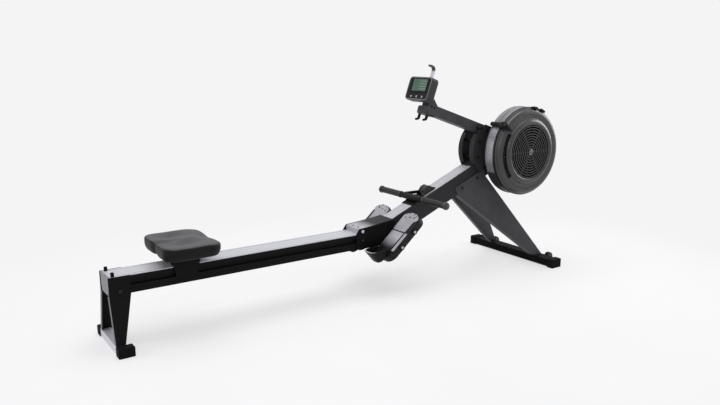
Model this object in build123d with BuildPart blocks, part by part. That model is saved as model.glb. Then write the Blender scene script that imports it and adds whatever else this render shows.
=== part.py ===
# Rowing machine: +X points forward to the fan, +Y to the rower's left, +Z up. Millimetres.
# The origin is on the floor, in the middle of the machine's length and width.
import os
from math import acos, asin, atan2, cos, degrees, hypot, radians, sin

from build123d import *

os.makedirs("parts", exist_ok=True)

SIDES = ((-1, "right"), (1, "left"))

# Overall places: the reaches run forward from the rail's front end, the heights up from the floor
RAIL_INSET = 12.0
RAIL_LENGTH = 1168.0
FAN_REACH = 917.0
FAN_HEIGHT = 605.0
DRUM_RADIUS = 226.0
REAR = -(RAIL_INSET + RAIL_LENGTH + FAN_REACH + DRUM_RADIUS) / 2
rail_rear = REAR + RAIL_INSET
rail_front = rail_rear + RAIL_LENGTH
FAN_X = rail_front + FAN_REACH

# Fits
TOUCH_GAP = 0.3
SHAFT_FIT = 0.05

# Rail
RAIL_WIDTH = 108.0
RAIL_TOP = 287.0
RAIL_HEIGHT = 72.0
RAIL_WALL = 4.0
TRACK_THICKNESS = 3.0
TRACK_GROOVE_Y = 40.0
TRACK_GROOVE_WIDTH = 3.0
TRACK_GROOVE_DEPTH = 1.0
SIDE_GROOVE_DEPTH = 11.0
SIDE_GROOVE_HEIGHT = 19.0
SIDE_GROOVE_DROP = 22.0
END_PLATE_THICKNESS = 6.0
END_PLATE_TAPER = 14.0
STOP_LENGTH = 12.0
STOP_WIDTH = 13.0
STOP_HEIGHT = 16.0
STOP_Y = 45.0
STOP_INSET = 13.0
rail_half = RAIL_WIDTH / 2
rail_bottom = RAIL_TOP - RAIL_HEIGHT
beam_top = RAIL_TOP - TRACK_THICKNESS
groove_top = RAIL_TOP - SIDE_GROOVE_DROP
groove_bottom = groove_top - SIDE_GROOVE_HEIGHT
rail_bolt_depth = SIDE_GROOVE_DEPTH + RAIL_WALL
rail_web = rail_half - SIDE_GROOVE_DEPTH

# Floor bars and their caps
FRONT_WIDTH = 610.0
FRONT_CAP_DEPTH = 68.0
FRONT_CAP_HEIGHT = 46.0
FRONT_BAR_REACH = 1028.0
REAR_WIDTH = 296.0
REAR_CAP_DEPTH = 62.0
REAR_CAP_HEIGHT = 39.0
REAR_BAR_DEPTH = 36.0
CAP_LENGTH = 34.0
CAP_WALL = 4.0
BAR_WALL = 3.0
front_bar_x = rail_front + FRONT_BAR_REACH
rear_cap_x = REAR + REAR_CAP_DEPTH / 2
rear_bar_x = REAR + CAP_WALL + REAR_BAR_DEPTH / 2
front_bar_depth = FRONT_CAP_DEPTH - 2 * CAP_WALL
front_bar_top = FRONT_CAP_HEIGHT - CAP_WALL
rear_bar_top = REAR_CAP_HEIGHT - CAP_WALL

# Legs
LEG_THICKNESS = 6.0
REAR_LEG_TOP_WIDTH = 82.0
REAR_LEG_FOOT_WIDTH = 36.0
REAR_LEG_INSET = 4.0
REAR_LEG_FLANGE = 14.0
REAR_BOLT_INSET = 34.0
REAR_BOLT_RISE = 16.0
REAR_FOOT_Y = 102.0
FRONT_LEG_TOP_WIDTH = 206.0
FRONT_LEG_FOOT_WIDTH = 62.0
FRONT_FOOT_Y = 165.0
LEG_BOLT_STEPS = (40.0, 150.0)
FRONT_LEG_TAB = 42.0
FRONT_LEG_START = 512.0
FRONT_LEG_FLANGE = 22.0

# Boom, from the rail's front end up to the drive frame
BOOM_REACH = 50.0
AXLE_DROP = 38.0
BOOM_WIDTH = 80.0
BOOM_DEPTH = 94.0
BOOM_WALL = 3.0
BOOM_END = 836.0
STRIP_THICKNESS = 2.0
STRIP_WIDTH = 72.0
STRIP_START = 106.0
STRIP_END = 648.0
boom_half = BOOM_WIDTH / 2
boom_run = FAN_REACH - BOOM_REACH
boom_climb = FAN_HEIGHT - RAIL_TOP
BOOM_ANGLE = degrees(atan2(boom_climb, boom_run) + asin(AXLE_DROP / hypot(boom_run, boom_climb)))
boom_cos = cos(radians(BOOM_ANGLE))
boom_sin = sin(radians(BOOM_ANGLE))

# Junction of rail and boom
JUNCTION_THICKNESS = 4.0
JUNCTION_OVERLAP = 66.0
JUNCTION_RISE = 24.0
JUNCTION_RAMP = 16.8
JUNCTION_TAIL = 48.0
RAIL_BOLT_DROP = 9.0
BOOM_BOLT_INSET = 24.0
BOOM_BOLT_SHARE = 0.72
JUNCTION_FRONT = 106.0
COVER_THICKNESS = 2.0
COVER_BEND = 31.8

# Feet, on a plane through the split between toe pad and heel rest
FOOT_REACH = 140.0
FOOT_HEIGHT = 287.0
FOOT_ANGLE = 41.0
PAD_WIDTH = 84.0
PAD_THICKNESS = 10.0
TOE_LENGTH = 106.0
TOE_CORNER = 36.0
TOE_HOLE_RADIUS = 4.0
TOE_HOLE_DEPTH = 6.0
TOE_HOLE_SPACING = 20.0
TOE_HOLE_PLACE = 82.68
TOE_HOLE_CURVE = 6.0
BOARD_THICKNESS = 30.0
BOARD_INNER_RIM = 2.0
BOARD_OUTER_RIM = 24.0
BOARD_RIM_HEIGHT = 8.0
BOARD_TOE_RIM = 7.0
RIM_GROOVE = 5.0
BOARD_CORNER = 42.0
BOARD_TAIL = 150.0
BOARD_STANDOFF = 2.0
HEEL_PLATE_LENGTH = 180.0
HEEL_CORNER = 30.0
HEEL_CUP_START = 112.0
HEEL_CUP_HEIGHT = 62.0
HEEL_LIP_SHARE = 0.15
HEEL_CUP_WALL = 7.0
HEEL_GAP = 5.0
LUG_RADIUS = 13.0
LUG_WIDTH = 6.0
LUG_PLACES = (31.8, -63.6)

# Drive frame
DRIVE_BACKSET = 126.0
DRIVE_RISE = 8.0
DRIVE_RADIUS = 146.0
DRIVE_NOSE_RADIUS = 66.0
DRIVE_INNER = 50.0
DRIVE_THICKNESS = 4.0
DRIVE_FLANGE = 27.0
DRIVE_FLANGE_TOP = 144.0
FLANGE_CLEAR = 2.0
FLANGE_CLEAR_ANGLE = 2.0
DRIVE_BOLT_RISE = 5.0
DRIVE_BOLT_BACK = (30.0, 118.0)
DRIVE_BOLT_INSET = 30.0
DRIVE_BOLT_ANGLES = (156, 196)
drive_x = FAN_X - DRIVE_BACKSET
drive_z = FAN_HEIGHT + DRIVE_RISE
drive_outer = DRIVE_INNER + DRIVE_THICKNESS

# Fan
AXLE_RADIUS = 8.5
BEARING_RADIUS = 17.5
BEARING_FLANGE = 24.0
BEARING_DEPTH = 7.0
FAN_STANDOFF = 33.0
STANDOFF_RADIUS = 46.0
BACK_PLATE_THICKNESS = 3.0
DRUM_WIDTH = 64.0
DRUM_WALL = 2.5
DRUM_RING = 3.0
DRUM_RING_WIDTH = 8.0
COVER_RADIUS = 213.0
COVER_DEPTH = 34.0
COVER_WALL = 4.0
COVER_ROUND = 16.0
RING_RADIUS = 151.0
RING_RISE = 6.0
GRILLE_RADIUS = 134.0
GRILLE_RINGS = 9
GRILLE_BAR = 5.0
GRILLE_DEPTH = 4.0
GRILLE_SPOKES = 6
GRILLE_DROP = 2.0
SPOKE_OVERLAP = 1.0
HUB_RADIUS = 18.0
ROTOR_RADIUS = 206.0
ROTOR_WIDTH = 74.0
ROTOR_DISC = 6.0
ROTOR_HUB = 28.0
ROTOR_BLADES = 16
BLADE_THICKNESS = 2.5
BLADE_INSET = 2.0
ROTOR_GAP = 9.0
plate_back = drive_outer + FAN_STANDOFF
drum_back = plate_back + BACK_PLATE_THICKNESS
drum_front = drum_back + DRUM_WIDTH
cover_face = drum_front + COVER_DEPTH
ring_face = cover_face + RING_RISE

# Damper
DAMPER_ANGLE = 142.0
DAMPER_SPAN = 46.0
DAMPER_THICKNESS = 2.0
DAMPER_KNOB_HEIGHT = 16.0
DAMPER_KNOB_WIDTH = 26.0
DAMPER_POINTER_DROP = 40.0

# Chain drive
CHAIN_HEIGHT = 6.0
CHAIN_WIDTH = 8.0
SPROCKET_RADIUS = 25.0
SPROCKET_TEETH = 16
SPROCKET_THICKNESS = 5.0
SPROCKET_HUB = 15.0
TOOTH_LENGTH = 6.0
ROLLER_ALONG = 368.0
ROLLER_RISE = 6.0
ROLLER_RADIUS = 26.0
ROLLER_WIDTH = 36.0
ROLLER_PIN = 5.0
GUIDE_CHEEK = 6.0
CHEEK_STEP = 2.0
GUIDE_LENGTH = 84.0
SLOT_REAR = 40.0
SLOT_FRONT = 34.0
PULLEY_RADIUS = 16.0
PULLEY_WIDTH = 14.0
PULLEY_PIN = 4.0
REAR_PULLEY_INSET = 60.0
CORD_RADIUS = 4.0
CORD_JOIN = 420.0
CORD_ANCHOR_BACK = 99.0

# Handle
HANDLE_ALONG = 280.0
HANDLE_RISE = 17.0
HANDLE_LENGTH = 504.0
HANDLE_RADIUS = 11.0
GRIP_RADIUS = 15.5
GRIP_LENGTH = 168.0
YOKE_REACH = 56.0
YOKE_HALF_WIDTH = 60.0
YOKE_SLEEVE = 4.0
GRIP_END = 4.0
YOKE_THICKNESS = 15.0
YOKE_BAND = 12.0
EYE_RADIUS = 7.0
EYE_PIN = 3.5
EYE_GAP = 1.0
FORK_HALF_WIDTH = 12.6
WINDOW_START = 16.8
WINDOW_SIDE = 26.4
WINDOW_END = 14.4
REST_LENGTH = 88.0
REST_HALF_WIDTH = 39.0
REST_BASE = 3.0
REST_SADDLE = 34.0

# Monitor arm and monitor
ARM_SETBACK = 40.0
ARM_LIFT = 97.0
ARM_ANGLE = 18.9
ARM_LENGTH = 396.0
ARM_WIDTH = 52.0
ARM_DEPTH = 50.0
ARM_WALL = 3.0
ARM_PLATE = 6.0
ARM_WRAP = 46.0
ARM_NOSE = 26.0
ARM_NOSE_TOP = 8.0
ARM_BOLT_BACK = (14.0, 58.0)
HOOK_AHEAD = 3.0
PIVOT_RISE = 58.0
PIVOT_AHEAD = 3.0
PIVOT_RADIUS = 4.0
EAR_INNER = 15.0
EAR_THICKNESS = 6.0
EAR_RADIUS = 11.0
LUG_STEP = 2.0
LUG_ROOT = 1.0
HOOK_Y = 28.0
HOOK_WIDTH = 11.0
HOOK_THICKNESS = 9.0
HOOK_DROP = 24.0
HOOK_REACH = 26.0
HOOK_LEAN = 9.1
HOOK_TIP_DROP = 2.4
HOOK_BEND = 7.2
MONITOR_WIDTH = 165.0
MONITOR_HEIGHT = 114.0
MONITOR_DEPTH = 48.0
MONITOR_TILT = 20.0
MONITOR_CORNER = 18.0
MONITOR_BACK_CHAMFER = 10.0
PIVOT_SETBACK = 23.0
PIVOT_DROP = 17.0
SCREEN_WIDTH = 109.0
SCREEN_HEIGHT = 63.0
SCREEN_RISE = 19.5
SCREEN_THICKNESS = 2.0
BUTTON_RADIUS = 5.0
BUTTON_HEIGHT = 4.0
BUTTON_PROUD = 1.8
BUTTON_TRAVEL = 1.5
BUTTON_DROP = 40.0
BUTTON_SPACING = 40.0
ROD_WIDTH = 18.0
ROD_THICKNESS = 8.0
ROD_TOP = 122.0
ROD_REACH = 32.0
ROD_BEND = 16.0
ROD_START = 6.0
SLEEVE_WIDTH = 30.0
SLEEVE_HEIGHT = 44.0
SLEEVE_WALL = 4.0
SLEEVE_RISE = 30.0

# Seat
SEAT_DISTANCE = 315.0
SEAT_WIDTH = 300.0
SEAT_LENGTH = 234.0
SEAT_TOP = 382.0
SEAT_THICKNESS = 55.0
SEAT_CORNER = 46.0
SEAT_EDGE = 12.0
SEAT_NOTCH_RADIUS = 32.0
SEAT_NOTCH_DEPTH = 11.0
CARRIAGE_DISTANCE = 306.0
CARRIAGE_LENGTH = 120.0
CARRIAGE_THICKNESS = 5.0
SKIRT_GAP = 0.8
SKIRT_TAPER = 0.36
UNDER_ROLLER_GAP = 1.0
SKIRT_BOTTOM = 244.0
ROLLER_SPACING = 84.0
SEAT_ROLLER_RADIUS = 16.0
SEAT_ROLLER_WIDTH = 9.0
SEAT_ROLLER_Y = 47.5
UNDER_ROLLER_RADIUS = 9.0
UNDER_ROLLER_WIDTH = 8.0
SEAT_PIN = 4.0
seat_x = REAR + SEAT_DISTANCE
carriage_x = REAR + CARRIAGE_DISTANCE
seat_bottom = SEAT_TOP - SEAT_THICKNESS

# Transport wheels
WHEEL_RADIUS = 24.0
WHEEL_WIDTH = 22.0
WHEEL_CLEAR = 2.0
WHEEL_Y = 198.0
WHEEL_PIN = 5.0
FORK_THICKNESS = 4.0
FORK_GAP = 0.4
FORK_END = 6.0

# Fasteners
BOLT_RADIUS = 4.0
BOLT_HEAD_RADIUS = 7.5
BOLT_HEAD = 4.5


# Points and small helpers
def boom_point(along, rise):
    """Point in X and Z at a distance up the boom's top line and a rise square to it."""
    x = rail_front + BOOM_REACH + along * boom_cos - rise * boom_sin
    return x, RAIL_TOP + along * boom_sin + rise * boom_cos


def arm_point(along, rise):
    """Point in X and Z at a distance up the monitor arm's centre line and a rise square to it."""
    c = cos(radians(ARM_ANGLE))
    s = sin(radians(ARM_ANGLE))
    return drive_x - ARM_SETBACK - along * c + rise * s, drive_z + ARM_LIFT + along * s + rise * c


def around(centre, radius, angle):
    """Point in X and Z on a circle, the angle counted from +X towards +Z."""
    return centre[0] + radius * cos(radians(angle)), centre[1] + radius * sin(radians(angle))


def plate_plane(side, inner, thickness):
    """Plane whose extrusion by thickness fills from inner to inner + thickness on that side."""
    return Plane.XZ.offset(inner if side < 0 else -(inner + thickness))


def rod(centre, radius, y_from, y_to, mode=Mode.ADD):
    """Round bar along Y between two places."""
    middle = ((y_from + y_to) / 2)
    with Locations(Location((centre[0], middle, centre[1]), (90, 0, 0))):
        Cylinder(radius, abs(y_to - y_from), mode=mode)


def ring(centre, outer, inner, y_from, y_to):
    """Round bush along Y."""
    rod(centre, outer, y_from, y_to)
    rod(centre, inner, y_from, y_to, mode=Mode.SUBTRACT)


def save(builder, name):
    """Label a finished piece and write its file."""
    builder.part.label = name
    export_step(builder.part, f"parts/{name}.step")


boom_plane = Plane(
    origin=(boom_point(0, 0)[0], 0, boom_point(0, 0)[1]),
    x_dir=(boom_cos, 0, boom_sin),
    z_dir=(-boom_sin, 0, boom_cos),
)
fan_axis = Axis((FAN_X, 0, FAN_HEIGHT), (0, 1, 0))
fan_profile = Plane(origin=(FAN_X, 0, FAN_HEIGHT), x_dir=(1, 0, 0), z_dir=(0, 0, 1))
fan_centre = (FAN_X, FAN_HEIGHT)

# Bolt places in X and Z, shared by the plates and the bolts
rear_leg_bolts = [(rail_rear + REAR_BOLT_INSET, rail_bottom + REAR_BOLT_RISE)]
junction_rail_bolt = (rail_front - JUNCTION_OVERLAP / 2, groove_top - RAIL_BOLT_DROP)
junction_rivet = (rail_front - JUNCTION_OVERLAP / 2, RAIL_TOP + JUNCTION_RISE / 2)
junction_boom_bolt = boom_point(JUNCTION_FRONT - BOOM_BOLT_INSET, -BOOM_DEPTH * BOOM_BOLT_SHARE)
drive_boom_bolts = [
    boom_point(BOOM_END - back, -BOOM_DEPTH / 2 + DRIVE_BOLT_RISE) for back in DRIVE_BOLT_BACK
]
drive_cross_bolts = [
    around((drive_x, drive_z), DRIVE_RADIUS - DRIVE_BOLT_INSET, angle) for angle in DRIVE_BOLT_ANGLES
]
arm_bolts = [arm_point(back, 0) for back in ARM_BOLT_BACK]
leg_boom_bolts = [
    boom_point(FRONT_LEG_START + step, -BOOM_DEPTH + FRONT_LEG_TAB / 2) for step in LEG_BOLT_STEPS
]

# Rail beam: hollow extrusion with a groove along each side for the under rollers
with BuildPart() as rail_beam:
    with BuildSketch(Plane.YZ.offset(rail_rear)):
        with Locations((0, (beam_top + rail_bottom) / 2)):
            Rectangle(RAIL_WIDTH, beam_top - rail_bottom)
        with Locations(
            (rail_half - SIDE_GROOVE_DEPTH / 2, (groove_top + groove_bottom) / 2),
            (-rail_half + SIDE_GROOVE_DEPTH / 2, (groove_top + groove_bottom) / 2),
        ):
            Rectangle(SIDE_GROOVE_DEPTH, SIDE_GROOVE_HEIGHT, mode=Mode.SUBTRACT)
        with Locations((0, (beam_top + rail_bottom) / 2)):
            Rectangle(
                RAIL_WIDTH - 2 * (SIDE_GROOVE_DEPTH + RAIL_WALL),
                beam_top - rail_bottom - 2 * RAIL_WALL,
                mode=Mode.SUBTRACT,
            )
    extrude(amount=RAIL_LENGTH)
    for side, _ in SIDES:
        for bolt in rear_leg_bolts + [junction_rail_bolt]:
            rod(bolt, BOLT_RADIUS + SHAFT_FIT, side * (rail_half - rail_bolt_depth), side * rail_half,
                mode=Mode.SUBTRACT)
    rear_pulley = (rail_rear + REAR_PULLEY_INSET, (beam_top + rail_bottom) / 2)
    rod(rear_pulley, PULLEY_PIN + SHAFT_FIT, -rail_web, rail_web, mode=Mode.SUBTRACT)
save(rail_beam, "rail_beam")

# Rail track: pale running strip with two fine grooves
with BuildPart() as rail_track:
    with BuildSketch(Plane.YZ.offset(rail_rear)):
        with Locations((0, RAIL_TOP - TRACK_THICKNESS / 2)):
            Rectangle(RAIL_WIDTH, TRACK_THICKNESS)
        with Locations(
            (TRACK_GROOVE_Y, RAIL_TOP - TRACK_GROOVE_DEPTH / 2),
            (-TRACK_GROOVE_Y, RAIL_TOP - TRACK_GROOVE_DEPTH / 2),
        ):
            Rectangle(TRACK_GROOVE_WIDTH, TRACK_GROOVE_DEPTH, mode=Mode.SUBTRACT)
    extrude(amount=RAIL_LENGTH)
save(rail_track, "rail_track")

# Rail end plate, narrower towards its foot
with BuildPart() as rail_end_plate:
    with BuildSketch(Plane.YZ.offset(rail_rear - END_PLATE_THICKNESS)):
        with BuildLine():
            Polyline(
                (-rail_half, RAIL_TOP),
                (rail_half, RAIL_TOP),
                (rail_half, groove_bottom),
                (rail_half - END_PLATE_TAPER, rail_bottom),
                (-rail_half + END_PLATE_TAPER, rail_bottom),
                (-rail_half, groove_bottom),
                close=True,
            )
        make_face()
    extrude(amount=END_PLATE_THICKNESS)
save(rail_end_plate, "rail_end_plate")

# Rubber stops for the seat at the rail's rear end
with BuildPart() as seat_stops:
    for side, _ in SIDES:
        with Locations((rail_rear + STOP_INSET, side * STOP_Y, RAIL_TOP + STOP_HEIGHT / 2)):
            Box(STOP_LENGTH, STOP_WIDTH, STOP_HEIGHT)
    fillet(seat_stops.edges().filter_by(Axis.Z), STOP_WIDTH / 4)
    fillet(seat_stops.faces().sort_by(Axis.Z)[-2:].edges(), STOP_WIDTH / 5)
save(seat_stops, "seat_stops")


# Bent plate leg: an upright tab against a beam, then a splayed blade down to a floor bar,
# with a flange turned inwards along the blade's rear edge
def bent_leg(side, tab_inner, fold_start, fold_end, tab_height, foot, foot_width, floor_top, flange):
    fold = Vector(fold_end[0] - fold_start[0], 0, fold_end[1] - fold_start[1])
    start = Vector(fold_start[0], side * tab_inner, fold_start[1])
    down = Vector(foot[0], side * foot[1], floor_top) - start
    outward = down.cross(fold).normalized() * -side
    if outward.Y * side < 0:
        outward = outward * -1
    blade = Plane(origin=start, x_dir=fold, z_dir=outward)
    level = outward.cross(Vector(0, 0, 1)).normalized()
    level = level if level.X > 0 else level * -1
    foot_middle = Vector(foot[0], side * foot[1], floor_top)
    foot_rear = blade.to_local_coords(foot_middle - level * (foot_width / 2))
    foot_front = blade.to_local_coords(foot_middle + level * (foot_width / 2))
    below = (foot_rear + foot_front) * 0.5
    reach = 1 + 2 * LEG_THICKNESS / hypot(below.X - fold.length / 2, below.Y)
    with BuildPart() as leg:
        with BuildSketch(plate_plane(side, tab_inner, LEG_THICKNESS)):
            lift = (-fold.Z / fold.length * tab_height, fold.X / fold.length * tab_height)
            with BuildLine():
                Polyline(
                    fold_start,
                    fold_end,
                    (fold_end[0] + lift[0], fold_end[1] + lift[1]),
                    (fold_start[0] + lift[0], fold_start[1] + lift[1]),
                    close=True,
                )
            make_face()
        extrude(amount=LEG_THICKNESS)
        with BuildSketch(blade):
            with BuildLine():
                Polyline(
                    (0, 0),
                    (fold.length, 0),
                    (fold.length + (foot_front.X - fold.length) * reach, foot_front.Y * reach),
                    (foot_rear.X * reach, foot_rear.Y * reach),
                    close=True,
                )
            make_face()
        extrude(amount=LEG_THICKNESS)
        with BuildSketch(blade):
            with BuildLine():
                Polyline(
                    (0, 0),
                    (LEG_THICKNESS, 0),
                    (foot_rear.X * reach + LEG_THICKNESS, foot_rear.Y * reach),
                    (foot_rear.X * reach, foot_rear.Y * reach),
                    close=True,
                )
            make_face()
        extrude(amount=-flange)
        split(bisect_by=Plane.XY.offset(floor_top), keep=Keep.TOP)
    return leg


# Rear legs
for side, label in SIDES:
    rear_leg = bent_leg(
        side,
        rail_half,
        (REAR + REAR_LEG_INSET, rail_bottom),
        (REAR + REAR_LEG_INSET + REAR_LEG_TOP_WIDTH, rail_bottom),
        RAIL_HEIGHT,
        (rear_bar_x, REAR_FOOT_Y),
        REAR_LEG_FOOT_WIDTH,
        rear_bar_top,
        REAR_LEG_FLANGE,
    )
    with BuildPart() as rear_leg_drilled:
        add(rear_leg.part)
        for bolt in rear_leg_bolts:
            y_in = side * rail_half
            rod(bolt, BOLT_RADIUS + SHAFT_FIT, y_in, y_in + side * LEG_THICKNESS, mode=Mode.SUBTRACT)
    save(rear_leg_drilled, f"rear_leg_{label}")


# Floor bar tube, held between the caps
def floor_bar(x, width, depth, height):
    with BuildPart() as bar:
        with BuildSketch(Plane.XZ.offset(-(width / 2 - CAP_WALL))):
            with Locations((x, height / 2)):
                Rectangle(depth, height - 2 * CAP_WALL)
                Rectangle(
                    depth - 2 * BAR_WALL,
                    height - 2 * CAP_WALL - 2 * BAR_WALL,
                    mode=Mode.SUBTRACT,
                )
        extrude(amount=width - 2 * CAP_WALL)
    return bar


rear_floor_bar = floor_bar(rear_bar_x, REAR_WIDTH, REAR_BAR_DEPTH, REAR_CAP_HEIGHT)
save(rear_floor_bar, "rear_floor_bar")

# Front floor bar with the forks of the transport wheels welded to its front face
wheel_x = front_bar_x + FRONT_CAP_DEPTH / 2 + WHEEL_CLEAR + WHEEL_RADIUS
wheel_centre = (wheel_x, WHEEL_RADIUS + WHEEL_CLEAR)
fork_inner = WHEEL_WIDTH / 2 + FORK_GAP
fork_rear = front_bar_x + FRONT_CAP_DEPTH / 2 - CAP_WALL
with BuildPart() as front_floor_bar:
    add(floor_bar(front_bar_x, FRONT_WIDTH, front_bar_depth, FRONT_CAP_HEIGHT).part)
    for side, _ in SIDES:
        for cheek in (-1, 1):
            y_near = side * WHEEL_Y + cheek * fork_inner
            y_far = y_near + cheek * FORK_THICKNESS
            with BuildSketch(Plane.XZ.offset(-max(y_near, y_far))):
                with Locations(((fork_rear + wheel_x) / 2, wheel_centre[1])):
                    Rectangle(wheel_x - fork_rear, 2 * FORK_END)
                with Locations(wheel_centre):
                    Circle(FORK_END)
                    Circle(WHEEL_PIN / 2 + SHAFT_FIT, mode=Mode.SUBTRACT)
            extrude(amount=FORK_THICKNESS)
save(front_floor_bar, "front_floor_bar")

# Rubber caps over the ends of both floor bars
with BuildPart() as floor_caps:
    for x, width, depth, height, bar_x, bar_depth in (
        (rear_cap_x, REAR_WIDTH, REAR_CAP_DEPTH, REAR_CAP_HEIGHT, rear_bar_x, REAR_BAR_DEPTH),
        (front_bar_x, FRONT_WIDTH, FRONT_CAP_DEPTH, FRONT_CAP_HEIGHT, front_bar_x, front_bar_depth),
    ):
        for side, _ in SIDES:
            with BuildSketch(plate_plane(side, width / 2 - CAP_LENGTH, CAP_LENGTH)):
                with Locations((x, height / 2)):
                    RectangleRounded(depth, height, CAP_WALL)
            extrude(amount=CAP_LENGTH)
            with BuildSketch(plate_plane(side, width / 2 - CAP_LENGTH, CAP_LENGTH - CAP_WALL)):
                with Locations((bar_x, height / 2)):
                    Rectangle(bar_depth, height - 2 * CAP_WALL)
            extrude(amount=CAP_LENGTH - CAP_WALL, mode=Mode.SUBTRACT)
save(floor_caps, "floor_caps")

# Transport wheels
for side, label in SIDES:
    with BuildPart() as transport_wheel:
        y_middle = side * WHEEL_Y
        ring(wheel_centre, WHEEL_RADIUS, WHEEL_PIN / 2 + SHAFT_FIT, y_middle - WHEEL_WIDTH / 2,
             y_middle + WHEEL_WIDTH / 2)
        rims = transport_wheel.edges().filter_by(GeomType.CIRCLE).group_by(SortBy.RADIUS)[-1]
        fillet(rims, WHEEL_WIDTH / 6)
    save(transport_wheel, f"transport_wheel_{label}")

# Boom: box tube trimmed level with the rail's underside and behind the rail's end
slot_middle = ROLLER_ALONG + (SLOT_FRONT - SLOT_REAR) / 2
slot_length = SLOT_FRONT + SLOT_REAR
slot_width = ROLLER_WIDTH + 4 * FORK_GAP
rear_reach = PULLEY_RADIUS + TOUCH_GAP + CORD_RADIUS
cord_level = rear_pulley[1] - rear_reach
front_pulley_reach = PULLEY_RADIUS + TOUCH_GAP + CHAIN_HEIGHT / 2
front_pulley_z = cord_level + front_pulley_reach
sprocket_reach = SPROCKET_RADIUS + TOUCH_GAP + CHAIN_HEIGHT / 2
return_start = around(fan_centre, sprocket_reach, BOOM_ANGLE - 90)
front_pulley_x = return_start[0] + (
    boom_cos * (front_pulley_z - return_start[1]) - front_pulley_reach
) / boom_sin
front_pulley = (front_pulley_x, front_pulley_z)
with BuildPart() as boom:
    with BuildSketch(
        Plane(
            origin=(boom_point(-BOOM_DEPTH, 0)[0], 0, boom_point(-BOOM_DEPTH, 0)[1]),
            x_dir=(0, 1, 0),
            z_dir=(boom_cos, 0, boom_sin),
        )
    ):
        with Locations((0, -(BOOM_DEPTH + STRIP_THICKNESS) / 2)):
            Rectangle(BOOM_WIDTH, BOOM_DEPTH - STRIP_THICKNESS)
            Rectangle(
                BOOM_WIDTH - 2 * BOOM_WALL, BOOM_DEPTH - STRIP_THICKNESS - 2 * BOOM_WALL, mode=Mode.SUBTRACT
            )
    extrude(amount=BOOM_DEPTH + BOOM_END)
    split(bisect_by=Plane.YZ.offset(rail_front + TOUCH_GAP), keep=Keep.TOP)
    split(bisect_by=Plane.XY.offset(rail_bottom), keep=Keep.TOP)
    with BuildSketch(boom_plane):
        with Locations((slot_middle, 0)):
            Rectangle(slot_length, slot_width)
    extrude(amount=-(STRIP_THICKNESS + 2 * BOOM_WALL), mode=Mode.SUBTRACT)
    rod(front_pulley, PULLEY_PIN + SHAFT_FIT, -boom_half, boom_half, mode=Mode.SUBTRACT)
    for bolt in drive_boom_bolts + leg_boom_bolts + [junction_boom_bolt]:
        for side, _ in SIDES:
            y_in = side * (boom_half - BOOM_WALL)
            rod(bolt, BOLT_RADIUS + SHAFT_FIT, y_in, side * boom_half, mode=Mode.SUBTRACT)
save(boom, "boom")

# Pale strip along the boom's top, cut round the chain slot
with BuildPart() as boom_strip:
    with BuildSketch(boom_plane.offset(-STRIP_THICKNESS)):
        with Locations(((STRIP_START + STRIP_END) / 2, 0)):
            Rectangle(STRIP_END - STRIP_START, STRIP_WIDTH)
        with Locations((slot_middle, 0)):
            Rectangle(slot_length, slot_width, mode=Mode.SUBTRACT)
    extrude(amount=STRIP_THICKNESS)
save(boom_strip, "boom_strip")


# Footboards stand off the junction plates on a boss
junction_rear = rail_front - JUNCTION_OVERLAP
junction_outer = rail_half + JUNCTION_THICKNESS
board_inner = PAD_WIDTH / 2 + TOUCH_GAP + BOARD_INNER_RIM
board_outer = PAD_WIDTH / 2 + TOUCH_GAP + BOARD_OUTER_RIM
foot_y = junction_outer + BOARD_STANDOFF + board_inner


# Foot plane: local x runs up the board, local z stands off it towards the rower
def foot_plane(side, rise=0):
    c = cos(radians(FOOT_ANGLE))
    s = sin(radians(FOOT_ANGLE))
    origin = (rail_front + FOOT_REACH - rise * s, side * foot_y, FOOT_HEIGHT + rise * c)
    return Plane(origin=origin, x_dir=(c, 0, s), z_dir=(-s, 0, c))


# Junction plates on both sides of the rail's front end and the boom's foot
junction_top = boom_point(JUNCTION_FRONT, 0)
junction_low = boom_point(JUNCTION_FRONT, -BOOM_DEPTH)
for side, label in SIDES:
    with BuildPart() as junction_plate:
        with BuildSketch(plate_plane(side, rail_half, JUNCTION_THICKNESS)):
            with BuildLine():
                Polyline(
                    (junction_rear, rail_bottom),
                    (junction_rear, RAIL_TOP),
                    (junction_rear + JUNCTION_RAMP, RAIL_TOP + JUNCTION_RISE),
                    junction_top,
                    junction_low,
                    (junction_low[0] - JUNCTION_TAIL, rail_bottom),
                    close=True,
                )
            make_face()
            with Locations(junction_rail_bolt, junction_boom_bolt, junction_rivet):
                Circle(BOLT_RADIUS + SHAFT_FIT, mode=Mode.SUBTRACT)
        extrude(amount=JUNCTION_THICKNESS)
    save(junction_plate, f"junction_plate_{label}")

# Pale cover bridging the rail's track and the boom's strip between the junction plates
cover_rear = (junction_rear + JUNCTION_RAMP, RAIL_TOP)
cover_front = boom_point(STRIP_START - TOUCH_GAP, 0)
with BuildPart() as junction_cover:
    with BuildSketch(Plane.XZ.offset(-(rail_half - TOUCH_GAP))):
        with BuildLine():
            Polyline(
                cover_rear,
                (rail_front + COVER_THICKNESS, RAIL_TOP),
                boom_point(COVER_BEND, 0),
                cover_front,
                (cover_front[0], cover_front[1] + COVER_THICKNESS * 2),
                (cover_rear[0], RAIL_TOP + JUNCTION_RISE - COVER_THICKNESS),
                close=True,
            )
        make_face()
    extrude(amount=2 * (rail_half - TOUCH_GAP))
save(junction_cover, "junction_cover")

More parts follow.
